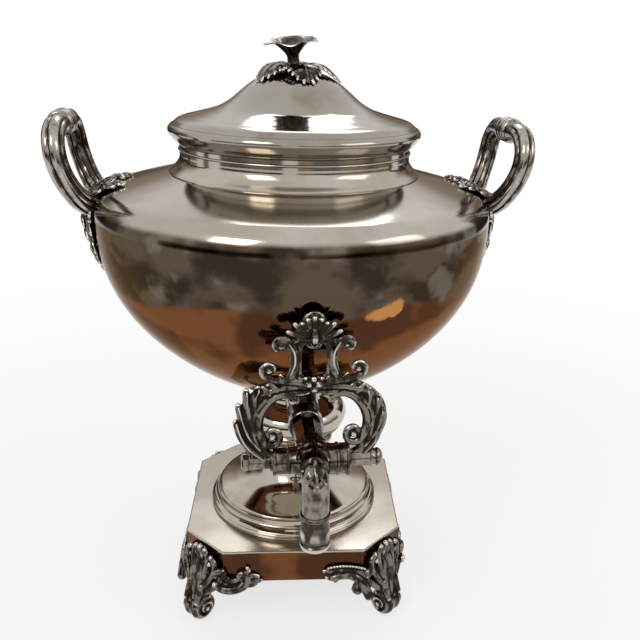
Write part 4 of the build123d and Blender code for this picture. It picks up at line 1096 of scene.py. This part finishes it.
CORNERS = ("rear_right", "rear_left", "front_left", "front_right")
CORNER_TURNS = [BASE_TURN + math.radians(45 + 90 * index) for index in range(4)]
first_foot = melted(foot, "foot_casting", cast_silver, lowest=0.0)
feet = [first_foot] + [turned_copy(first_foot, "foot_casting_" + name, turn)
                       for name, turn in list(zip(CORNERS, CORNER_TURNS))[1:]]
first_foot.data.transform(Matrix.Rotation(CORNER_TURNS[0], 4, "Z"))
for name, piece in zip(CORNERS, feet):
    dressed(piece, "root", "cast_plate", "foot_" + name)

# %% [markdown]
# ## Copies round an axis
# The five leaves under the finial are cast from one pattern. Copies could be pasted by a loop, but a
# small node group does it in one place: points at the origin, one copy on each, turned by its number,
# made real and given its finish.

# %% Node group for copies
COPIES_INPUTS = {"Geometry": "NodeSocketGeometry", "Count": "NodeSocketInt", "First angle": "NodeSocketFloat",
                 "Finish": "NodeSocketMaterial"}


def copies_group():
    """A node group that sets copies of a mesh round the Z axis."""
    tree = bpy.data.node_groups.new("copies_round_axis", "GeometryNodeTree")
    for name, kind in COPIES_INPUTS.items():
        tree.interface.new_socket(name, in_out="INPUT", socket_type=kind)
    tree.interface.new_socket("Geometry", in_out="OUTPUT", socket_type="NodeSocketGeometry")
    group = Graph(tree)
    given = {name: group.node("NodeGroupInput", {}, {}, name) for name in COPIES_INPUTS}
    points = group.node("GeometryNodeMeshLine", {}, {"Count": given["Count"], "Offset": (0, 0, 0)})
    number = group.node("GeometryNodeInputIndex", {}, {})
    turn = group.node("ShaderNodeCombineXYZ", {},
                      {"Z": number * (2 * math.pi / given["Count"]) + given["First angle"]})
    copies = group.node("GeometryNodeInstanceOnPoints", {},
                        {"Points": points, "Instance": given["Geometry"], "Rotation": turn})
    real = group.node("GeometryNodeRealizeInstances", {}, {0: copies})
    finished = group.node("GeometryNodeSetMaterial", {}, {"Geometry": real, "Material": given["Finish"]})
    group.node("NodeGroupOutput", {}, {0: finished})
    return tree


COPIES = copies_group()
print("node group", COPIES.name, len(COPIES.nodes), "nodes")

# %% Use of the node group
def copied_round(piece, count, first_angle, material):
    """Replaces a piece's mesh by copies of it round the Z axis."""
    ring = piece.modifiers.new("copies", "NODES")
    ring.node_group = COPIES
    values = {"Count": count, "First angle": first_angle, "Finish": material}
    for socket in COPIES.interface.items_tree:
        if socket.name in values:
            ring[socket.identifier] = values[socket.name]
    piece.update_tag()
    mesh = bpy.data.meshes.new_from_object(piece.evaluated_get(bpy.context.evaluated_depsgraph_get()))
    piece.modifiers.remove(ring)
    piece.data = mesh
    return piece


# %% [markdown]
# ## Finial
# Five serrated leaves lie on the lid's crown, and a trumpet flower with five petals stands leaning on
# them. A leaf is a bundle of strands laid over the dome, so that it follows the dome's curve. The flower
# is thin and open, which a melt would clog, so its skin is a formula of how far up the trumpet and how
# far round a point lies.

# %% Places on the dome
dome_line = np.array(smooth_run(dome_points(0)))[::-1]
LEAF_START = 4.0
LEAF_LENGTH = 27.0


def on_dome(across, reach, out):
    radius = math.hypot(across, reach) * MM
    height = float(np.interp(radius, dome_line[:, 0], dome_line[:, 1]))
    return (reach * MM, across * MM, height + out * MM)


def leaf_half_width(share):
    return 11.6 * math.sin(math.pi * (0.10 + 0.84 * share)) ** 0.85


def leaf_lift(share):
    return 1.8 + 3.4 * math.sin(math.pi * min(share * 1.08, 1.0)) ** 1.2


# %% Leaves on the crown
crown_leaf = Casting(on_dome)
blade = [(0.6 * math.sin(5 * share), LEAF_START + LEAF_LENGTH * share, leaf_lift(share),
          leaf_half_width(share)) for share in (0.02, 0.16, 0.32, 0.5, 0.66, 0.8, 0.9)]
blade_tip = (0, LEAF_START + LEAF_LENGTH, leaf_lift(0.98), 1.6)
crown_leaf.strand(blade + [blade_tip], flat=0.085, sides=28)
crown_leaf.strand([(0, LEAF_START + LEAF_LENGTH * share, leaf_lift(share) + 0.9, 0.95 - 0.4 * share)
                   for share in (0.0, 0.3, 0.6, 0.96)])
TEETH = 8
for side in (-1, 1):
    for tooth in range(TEETH):
        share = 0.12 + 0.86 * tooth / (TEETH - 1)
        edge = side * leaf_half_width(share)
        reach = LEAF_START + LEAF_LENGTH * share
        lift = leaf_lift(share)
        crown_leaf.strand([(0.93 * edge, reach - 0.3, lift + 0.2, 1.25),
                           (1.06 * edge, reach + 0.9, lift - 0.2, 1.05)])
        if tooth % 2:
            crown_leaf.strand([(0, reach - 4.5, lift + 0.8, 0.55),
                               (0.8 * edge, reach - 0.6, lift + 0.8, 0.5)])
crown_leaf.strand([(0, 3.2, 0.8, 3.4), (0, 6.5, 1.2, 3.6)], flat=0.5)
crown_leaves = copied_round(melted(crown_leaf, "crown_leaves", cast_silver), 5, math.radians(-78),
                            cast_silver)
dressed(crown_leaves, "lid", "cast_plate", "finial_leaves")

# %% Trumpet flower
FLOWER_FOOT = Vector((-1.6 * MM, 0, dome_top + 2.4 * MM))
FLOWER_TILT = Matrix.Rotation(math.radians(-6.5), 4, "Y") @ Matrix.Rotation(math.radians(8.0), 4, "X")
FLOWER_SIDES = 150
PETALS = 5
SKIN_STEPS = 34
THROAT_STEP = 10


def flower_point(share, angle, grow):
    """A point of the trumpet from its foot, share 0, to its rim, share 1."""
    petal = 0.5 + 0.5 * math.cos(PETALS * angle - 4.01)
    ruffle = 0.5 + 0.5 * math.cos(2 * PETALS * angle + 0.6)
    lip = max(share - 0.72, 0.0) / 0.28
    neck = 4.9 - 0.9 * math.sin(math.pi * min(share / 0.5, 1.0))
    reach = neck + (11.2 + 4.2 * petal) * max(share - 0.20, 0) ** 1.9 * 1.53
    reach += 0.18 * math.cos(15 * angle) * (1 - share) + grow
    height = 18.9 * (1 - (1 - share) ** 1.35) - lip ** 2 * (0.4 + 1.8 * petal) + 0.5 * lip * ruffle
    return Vector((reach * math.cos(angle), reach * math.sin(angle), height + 0.4 * grow)) * MM


flower_skin = [(step / SKIN_STEPS, 0.0) for step in range(SKIN_STEPS + 1)] + [(1.0, -0.5)]
flower_skin += [(step / SKIN_STEPS, -1.0) for step in range(SKIN_STEPS, THROAT_STEP - 1, -1)]
flower_points = [FLOWER_FOOT + FLOWER_TILT @ flower_point(share, 2 * math.pi * step / FLOWER_SIDES, grow)
                 for share, grow in flower_skin for step in range(FLOWER_SIDES)]
flower = new_piece("trumpet_flower", flower_points, grid_faces(len(flower_skin), FLOWER_SIDES), dark_silver,
                   60.0)
add_recess(flower.data)
dressed(flower, "lid", "cast_plate")
seat_outline = steps_from(0, dome_top, [(0.4, 0.5), (6.6, 1.2), (6.9, 2.4), (5.6, 3.6), (4.4, 4.4),
                                        (0.4, 4.6)])
dressed(turned("flower_seat", seat_outline, tap_silver, 48), "lid", "cast_plate", "finial_flower")

# %% [markdown]
# ## Handles
# A handle is one loop of fluted tube that rises from two roots on the shoulder's edge. Three beads bind
# its grip, and acanthus leaves spread from the roots over the shoulder and down the bowl. A curve with a
# bevel would give the tube but not the flutes, which fade out towards the grip, so its rings are placed
# one by one.

# %% Tube of a handle
GRIP_REACH = 163.2
GRIP_HEIGHT = 375.4
HANDLE_SIDE = [(137, 13.5, 316.5), (143.5, 20, 320.5), (150.0, 29, 326.5), (155.2, 35.4, 335.5),
               (159.0, 39.2, 345.0), (161.4, 41.0, 354.5), (162.6, 39.8, 363.5), (163.2, 34.4, 370.8),
               (163.2, 25.6, 374.8), (GRIP_REACH, 12.8, GRIP_HEIGHT)]
HANDLE_LINE = HANDLE_SIDE + [(GRIP_REACH, 0, GRIP_HEIGHT)] + [(x, -y, z) for x, y, z in reversed(HANDLE_SIDE)]


def handle_tube(name, sides=60, flutes=5):
    run = np.array(smooth_run(HANDLE_LINE, 9)) * MM
    vertices = []
    away = np.array((1.0, 0.0, 0.15))
    for index, (centre, tangent) in enumerate(zip(run, unit(np.gradient(run, axis=0)))):
        away = unit(away - tangent * away.dot(tangent))
        beside = np.cross(tangent, away)
        from_grip = abs(2 * index / (len(run) - 1) - 1)
        flute = 0.21 * min(1.0, max(0.0, (from_grip - 0.10) / 0.12)) * min(1.0, (1.02 - from_grip) / 0.12)
        size = (7.5 + 1.3 * max(0.0, from_grip - 0.72) / 0.28) * MM
        for side in range(sides):
            angle = 2 * math.pi * side / sides
            hollow = abs(math.cos(0.5 * flutes * angle)) ** 0.5
            reach = size * (1.0 - flute * (1 - hollow))
            vertices.append(centre + reach * (math.cos(angle) * away + math.sin(angle) * beside))
    piece = new_piece(name, vertices, grid_faces(len(run), sides), handle_silver, 60.0)
    add_recess(piece.data)
    return piece


# %% Beads on a grip
def grip_beads(name, beads=3, width=6.2):
    outline = [(6.6, -9.4)]
    for bead_index in range(beads):
        for step in range(9):
            outline.append((7.5 + 1.75 * math.sin(math.pi * step / 8) ** 0.8,
                            width * (bead_index + step / 8) - 9.3))
    outline.append((6.6, 9.4))
    piece = turned(name, steps_from(0, 0, outline), handle_silver, 64, 60.0)
    to_grip = Matrix.Translation((GRIP_REACH * MM, 0, GRIP_HEIGHT * MM))
    piece.data.transform(to_grip @ Matrix.Rotation(math.pi / 2, 4, "X"))
    add_recess(piece.data)
    return piece


# %% Places on the vessel's skin
CONE_REACH = 45 * MM
profile = [cone_point(edge_end[0] - CONE_REACH * (1 - step / 12), 0) for step in range(12)]
profile += [edge_point(EDGE_TURN * (1 - step / 16), 0) for step in range(16)]
RIM_INDEX = len(profile)
profile = np.array(profile + bowl_side(0)[::-1])
profile_tangent = unit(np.gradient(profile, axis=0))


def lengths_along(points):
    """How far along a run each of its points lies."""
    return np.concatenate([[0], np.cumsum(np.linalg.norm(np.diff(points, axis=0), axis=1))])


profile_length = lengths_along(profile)
profile_length -= profile_length[RIM_INDEX]


def on_body(across, down, out):
    """A point over the bowl's or shoulder's skin at +X, down being the way from the rim along the outline."""
    columns = (profile[:, 0], profile[:, 1], profile_tangent[:, 0], profile_tangent[:, 1])
    radius, height, along_r, along_z = (float(np.interp(down * MM, profile_length, column))
                                        for column in columns)
    radius -= along_z * out * MM
    height += along_r * out * MM
    angle = across * MM / radius
    return (radius * math.cos(angle), radius * math.sin(angle), height)


# %% Leaves at a handle's roots
def root_leaves(name):
    leaves = Casting(on_body)
    leaves.strand([(0, -9, 1.6, 11), (0, 2, 2.0, 13.5), (0, 14, 1.2, 13), (0, 28, 0.6, 9.5), (0, 40, 0.2, 5)],
                  flat=0.48, sides=24)
    leaf(leaves, [(0, -9, 6.2), (0, 2, 7.4), (0, 14, 6.4), (0, 28, 4.4), (0.4, 38, 2.4), (0, 47, 1.2)], 12.0,
         lobes=6, lift=1.3, thick=2.0, sheet=1.2)
    for side in (-1, 1):
        leaf(leaves, [(side * 15, -6, 3.2), (side * 20, 4, 2.8), (side * 22, 15, 2.3), (side * 19, 27, 1.6),
                      (side * 16, 35, 1.2)], 9.0, lobes=4, lift=1.3, thick=2.0, sheet=1.1)
        leaf(leaves, [(side * 17, -10, 3.4), (side * 17.5, -18, 2.6), (side * 16.5, -26, 1.8),
                      (side * 15, -32, 1.2)], 7.5, lobes=3, lift=1.2, thick=1.9, sheet=1.1)
        leaf(leaves, [(side * 12, -10, 3.4), (side * 6, -16, 2.4), (side * 3, -24, 1.4)], 5.0, lobes=3,
             lift=1.0, thick=1.6, sheet=0.9)
        leaves.strand([(side * 6, -5, 2.4, 3.0), (side * 13, -9, 3.6, 4.6), (side * 20, -10, 3.6, 4.8)])
        leaves.curl((side * 27, -1), 4.4, 90, side * 420, 2.2, 1.9, 1.8)
    return melted(leaves, name, cast_silver)


# %% Right and left handle
for base, maker, node in (("handle_tube", handle_tube, "handle"), ("grip_beads", grip_beads, "handle_band"),
                          ("root_leaves", root_leaves, "handle_leaf")):
    right_piece = maker(base + "_right")
    left_piece = turned_copy(right_piece, base + "_left", math.pi)
    dressed(right_piece, "root", "cast_plate", node + "_right")
    dressed(left_piece, "root", "cast_plate", node + "_left")

# %% [markdown]
# ## Tap
# The tap's barrel, its domed caps and the nozzle are turned. The spout bends down out of the barrel, with
# a leaf over its root, and an eight-sided tail runs back to the bowl. The tail could end flat against the
# barrel, but the plug turns in there, so the tail's front is hollowed to leave it room.

# %% Barrel and its ends
barrel = [(5.7, -25.5), (8.9, -25.5), (9.2, -25.0), (9.1, -23.9), (8.4, -23.3), (8.3, -16.4), (8.8, -15.8),
          (8.8, -14.8), (8.4, -14.2), (9.2, -10.5), (10.7, -8), (11.1, -4), (11.1, 5), (10.5, 9), (9.9, 12.5),
          (9.9, 14.4), (10.6, 14.9), (10.6, 16.3), (9.9, 16.8), (10.0, 21.0), (10.9, 21.5), (11.1, 22.3),
          (10.9, 23.2), (10.5, 23.4), (7.1, 23.4)]
dressed(along_plug("barrel", barrel, 96), "root", "turned_plate", "tap_barrel")
end_cap = [(0.4, 45.3), (2.6, 45.1), (4.5, 44.1), (5.6, 42.7), (6.0, 41.6), (5.6, 41.0), (3.6, 40.95),
           (0.4, 40.95)]
dressed(along_plug("end_cap", end_cap), "tap_lever", "turned_plate", "lever_cap")
end_nut = [(0.4, -45.4), (3.6, -45.4), (5.0, -44.8), (5.6, -44.0), (5.6, -42.0), (5.2, -41.0), (0.4, -41.0)]
dressed(along_plug("end_nut", end_nut, 8, 20.0), "tap_lever", "turned_plate", "lever_nut")

# %% Tail
PLUG_ROOM = 8.0 * MM
socket_joint = low("tap_socket").y


def tail_section(name, stations, sides, angle_offset=0.0):
    """A tube along Y through (y, radius) stations in metres, hollowed in front to leave the plug its room."""
    vertices = []
    for y, reach in stations:
        for side in range(sides):
            angle = 2 * math.pi * (side + angle_offset) / sides
            rise = reach * math.sin(angle)
            hollow = plug_y + math.sqrt(max(PLUG_ROOM ** 2 - rise ** 2, 0.0))
            vertices.append((reach * math.cos(angle), max(y, hollow), tap_height + rise))
    return new_piece(name, vertices, grid_faces(len(stations), sides), tap_silver, 25.0)


front_tail = steps_from(plug_y, 0, [(4, 0.3), (4, 2.5), (4, 5.0), (4, 7.0), (4, 8.4), (4, 9.6), (13, 9.6),
                                    (15, 10.4), (18, 10.6), (19, 9.4)])
front_tail += steps_from(socket_joint, 0, [(-3.5, 10.4)])
joint_ring = steps_from(socket_joint, 0, [(-3.6, 11.6), (-3.0, 12.2), (-0.4, 12.2), (0, 11.8), (0.4, 12.2),
                                          (3.0, 12.2), (3.6, 11.4)])
dressed(tail_section("front_tail", front_tail, 8, 0.5), "root", "turned_plate")
dressed(tail_section("joint_ring", joint_ring, 48), "root", "turned_plate")

# %% Places on the spout
SPOUT_START = 11.6
SPOUT_TOP_DROP = 26.0
SPOUT_SIDES = 64
ELBOW = 9.0
spout_line = [(-2, 0, 10.2), (6, 0, 9.9), (9.5, 0, 9.4), (SPOUT_START, 0, 8.8)]
for turn in range(10, 91, 10):
    angle = math.radians(turn)
    spout_line.append((SPOUT_START + ELBOW * math.sin(angle), -ELBOW * (1 - math.cos(angle)), 8.7))
spout_line += [(SPOUT_START + ELBOW, -drop, 8.6) for drop in (12, 16, 20, 24, SPOUT_TOP_DROP)]
spout_run = np.array(smooth_run(spout_line, 4))
spout_tangent = unit(np.gradient(spout_run[:, :2], axis=0))
spout_length = lengths_along(spout_run[:, :2])


def on_spout(across, along, out):
    """A point over the spout, along being the way down its middle and across the way round from its front."""
    columns = (spout_run[:, 0], spout_run[:, 1], spout_run[:, 2], spout_tangent[:, 0], spout_tangent[:, 1])
    forward, rise, size, go_forward, go_up = (float(np.interp(along, spout_length, column))
                                              for column in columns)
    angle = across / size
    reach = size + out
    front = reach * math.cos(angle)
    return (reach * math.sin(angle) * MM, plug_y - (forward - go_up * front) * MM,
            tap_height + (rise + go_forward * front) * MM)


# %% Spout
spout_points = [on_spout(2 * math.pi * size * side / SPOUT_SIDES, along, 0.0)
                for along, size in zip(spout_length, spout_run[:, 2]) for side in range(SPOUT_SIDES)]
spout_faces = grid_faces(len(spout_length), SPOUT_SIDES, capped=False)
dressed(new_piece("spout_tube", spout_points, spout_faces, tap_silver), "root", "turned_plate", "tap_spout")

# %% Leaf over the spout's root
spout_leaf = Casting(on_spout)
leaf(spout_leaf, [(0, -1, 1.2), (0, 5, 1.7), (0.4, 12, 1.4), (-0.4, 18, 1.0), (0, 24, 0.6)], 8.5, lobes=4,
     lift=1.2, thick=1.6, sheet=1.0)
for side in (-1, 1):
    leaf(spout_leaf, [(side * 4, 0, 1.8), (side * 9, 4, 1.5), (side * 13, 10, 1.0)], 5.0, lobes=3, lift=1.0,
         thick=1.4, sheet=0.9)
    spout_leaf.curl((side * 5.4, 1.6), 3.4, 200, side * 400, 2.4, 1.5, 1.6)
    leaf(spout_leaf, [(side * 3, -2, 1.6), (side * 10, -3, 1.8), (side * 15, -1.5, 1.2)], 4.2, lobes=3,
         lift=1.0, thick=1.4, sheet=0.9)
dressed(melted(spout_leaf, "spout_leaf", cast_silver, grid=0.4 * MM), "root", "turned_plate")

# %% Nozzle
NOZZLE_SIDES = 96
LOBE_DROP = 11
nozzle_y = (low("spout_nozzle").y + high("spout_nozzle").y) / 2
nozzle_high = high("spout_nozzle").z
NOZZLE = [(8.7, 0.0), (9.6, 0.5), (9.8, 1.6), (9.6, 2.7), (8.6, 3.4), (8.7, 5.0), (9.4, 8.5), (10.0, 12.5),
          (9.9, 16.0), (9.2, 19.0), (8.6, 20.4), (9.0, 21.2), (9.7, 22.0), (9.8, 23.4), (9.2, 24.7),
          (8.2, 25.0), (6.0, 25.0), (6.0, 20.0)]
nozzle_run = smooth_run(NOZZLE[:-4], 4) + NOZZLE[-4:]
nozzle_points = []
for radius, drop in nozzle_run:
    lobe_depth = 1.4 * math.exp(-((drop - LOBE_DROP) / 6.0) ** 2) if radius > 8 else 0.0
    for side in range(NOZZLE_SIDES):
        angle = 2 * math.pi * side / NOZZLE_SIDES
        reach = (radius - lobe_depth * (1 - abs(math.sin(3 * angle + 0.3)) ** 0.5)) * MM
        nozzle_points.append((reach * math.cos(angle), nozzle_y + reach * math.sin(angle),
                              nozzle_high - drop * MM))
nozzle_faces = grid_faces(len(nozzle_run), NOZZLE_SIDES, capped=False)
nozzle_piece = new_piece("nozzle", nozzle_points, nozzle_faces, dark_silver)
add_recess(nozzle_piece.data)
dressed(nozzle_piece, "root", "turned_plate", "spout_nozzle")

# %% [markdown]
# ## Finishes on the solids that stay
# Small turned and hidden solids have the right shape already. They could be turned again like the sheets,
# but nothing would look different, so they keep their meshes and only get a finish.

# %% Materials on the remaining nodes
FINISHED_NODES = (
    (plinth_plate, ("plinth",)),
    (stem_plate, ("bowl_socket", "heater_sleeve", "sleeve_cap", "sleeve_cap_knob")),
    (dark_iron, ("tie_rod", "tie_washer", "tie_nut", "foot_nuts", "heating_iron")),
    (turned_brass, ("bowl_boss", "tap_plug", "finial_nut")),
)
node_finish = {node: material for material, nodes in FINISHED_NODES for node in nodes}
for node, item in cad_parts.items():
    item.data.materials.clear()
    item.data.materials.append(node_finish.get(node, tap_silver))
print("finished nodes", len(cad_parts))

# %% [markdown]
# ## Studio
# A pale floor, a white surround and three large soft lamps. Polished metal shows only what stands round
# it, and between white walls it would look flat. Cards could be hung close to it, but the bowl would
# mirror their outlines, so three curved brown walls stand far round the urn and fade to white upwards.
# Only reflections see them: the camera, shadows and soft light don't.

# %% Surround
bpy.context.scene.view_settings.view_transform = "Standard"


def seen_directly(graph):
    """1 for rays from the camera, off polished metal or through glass, and 0 for soft light."""
    camera_ray, glossy_ray, through_ray = (graph.node("ShaderNodeLightPath", {}, {}, f"Is {kind} Ray")
                                           for kind in ("Camera", "Glossy", "Transmission"))
    return camera_ray.or_more(glossy_ray).or_more(through_ray)


world = bpy.data.worlds.new("surround")
bpy.context.scene.world = world
world.use_nodes = True
world.node_tree.nodes.clear()
surround = Graph(world.node_tree)
soft = surround.node("ShaderNodeBackground", {}, {"Color": (1.0, 0.98, 0.95, 1.0), "Strength": 0.55})
white = surround.node("ShaderNodeBackground", {}, {"Color": (1.0, 1.0, 1.0, 1.0), "Strength": 1.0})
choice = surround.node("ShaderNodeMixShader", {}, {0: seen_directly(surround), 1: soft, 2: white})
surround.node("ShaderNodeOutputWorld", {}, {"Surface": choice})
print("surround", len(world.node_tree.nodes), "nodes")

# %% Floor
FLOOR_HALF = 6.0
pale_floor = Finish("pale_floor")
pale_floor.set(Base_Color=(0.93, 0.925, 0.92, 1.0), Roughness=0.9)
floor_x, floor_y = pale_floor.parts_of(pale_floor.place())[:2]
floor_far = pale_floor.clamped((floor_x * floor_x + floor_y * floor_y) ** 0.5, 0.25, 1.1)
floor_glow = pale_floor.node("ShaderNodeEmission", {}, {})
floor_mix = pale_floor.node("ShaderNodeMixShader", {},
                            {0: (0.74 + 0.26 * floor_far) * seen_directly(pale_floor),
                             1: Wire(pale_floor, pale_floor.shader.outputs[0]), 2: floor_glow})
pale_floor.join(floor_mix, pale_floor.tree.nodes["Material Output"].inputs["Surface"])
floor_corners = [(FLOOR_HALF * x, FLOOR_HALF * y, 0) for x, y in ((-1, -1), (1, -1), (1, 1), (-1, 1))]
floor = new_piece("floor", floor_corners, [(0, 1, 2, 3)], pale_floor.material)
print("floor", 2 * FLOOR_HALF, "m wide")

# %% Finish of the room
ROOM_DARK = (0.030, 0.019, 0.012)
ROOM_TAN = (0.300, 0.235, 0.175)


def room_finish(name, fade_start, fade_end):
    """A dim brown room that brightens to white between two heights, its colour glowing as emitted light."""
    room = Finish(name)
    place = room.place()
    height = room.parts_of(place)[2] + 0.5 * room.noise(place, 1.3, 1.0)
    brown = room.blend(room.clamped(room.noise(place, 0.9, 3.0), 0.42, 0.62), ROOM_DARK, ROOM_TAN)
    room.set(Base_Color=(0, 0, 0, 1), Roughness=1.0, Emission_Strength=1.0,
             Emission_Color=room.blend(room.clamped(height, fade_start, fade_end), brown, (1.0, 1.0, 1.0)))
    return room.material


# %% Room that only the metal sees
ROOM_RADIUS = 2.0
ARC_STEPS = 48


def around(height, start, end):
    """Points on a level arc between two compass angles in degrees, 270 being the camera's side."""
    angles = [math.radians(start + (end - start) * step / ARC_STEPS) for step in range(ARC_STEPS + 1)]
    return [(ROOM_RADIUS * math.cos(angle), ROOM_RADIUS * math.sin(angle), height) for angle in angles]


def room_wall(name, start, end, top, material):
    """A curved wall, seen by reflections alone."""
    points = [point for share in (0.01, 0.5, 1.0) for point in around(top * share, start, end)]
    row = ARC_STEPS + 1
    faces = [(here, here + 1, here + 1 + row, here + row)
             for level in range(2) for here in range(level * row, level * row + ARC_STEPS)]
    made = new_piece(name, points, faces, material)
    made.visible_camera = False
    made.visible_shadow = False
    made.visible_diffuse = False
    print(name, "from", start, "to", end, "degrees")


low_room = room_finish("low_room", 0.55, 1.15)
high_room = room_finish("high_room", 0.95, 1.60)
room_wall("wall_right", 268, 372, 1.1, low_room)
room_wall("wall_left", 190, 254, 1.1, low_room)
room_wall("wall_back", 25, 158, 1.6, high_room)

# %% Lamps
AIM = Vector((0, 0, 0.22))


def soft_lamp(name, place, side, power):
    """A square lamp that points at the middle of the urn."""
    lamp = bpy.data.lights.new(name, "AREA")
    lamp.shape = "SQUARE"
    lamp.size = side
    lamp.energy = power
    holder = in_scene(name, lamp)
    holder.location = place
    holder.rotation_mode = "QUATERNION"
    holder.rotation_quaternion = (AIM - Vector(place)).to_track_quat("-Z", "Y")
    print(name, power, "W")


soft_lamp("key_lamp", (-1.6, -1.7, 2.3), 1.1, 22.0)
soft_lamp("fill_lamp", (1.9, -1.2, 1.5), 1.3, 9.0)
soft_lamp("back_lamp", (0.3, 2.2, 2.2), 1.2, 14.0)
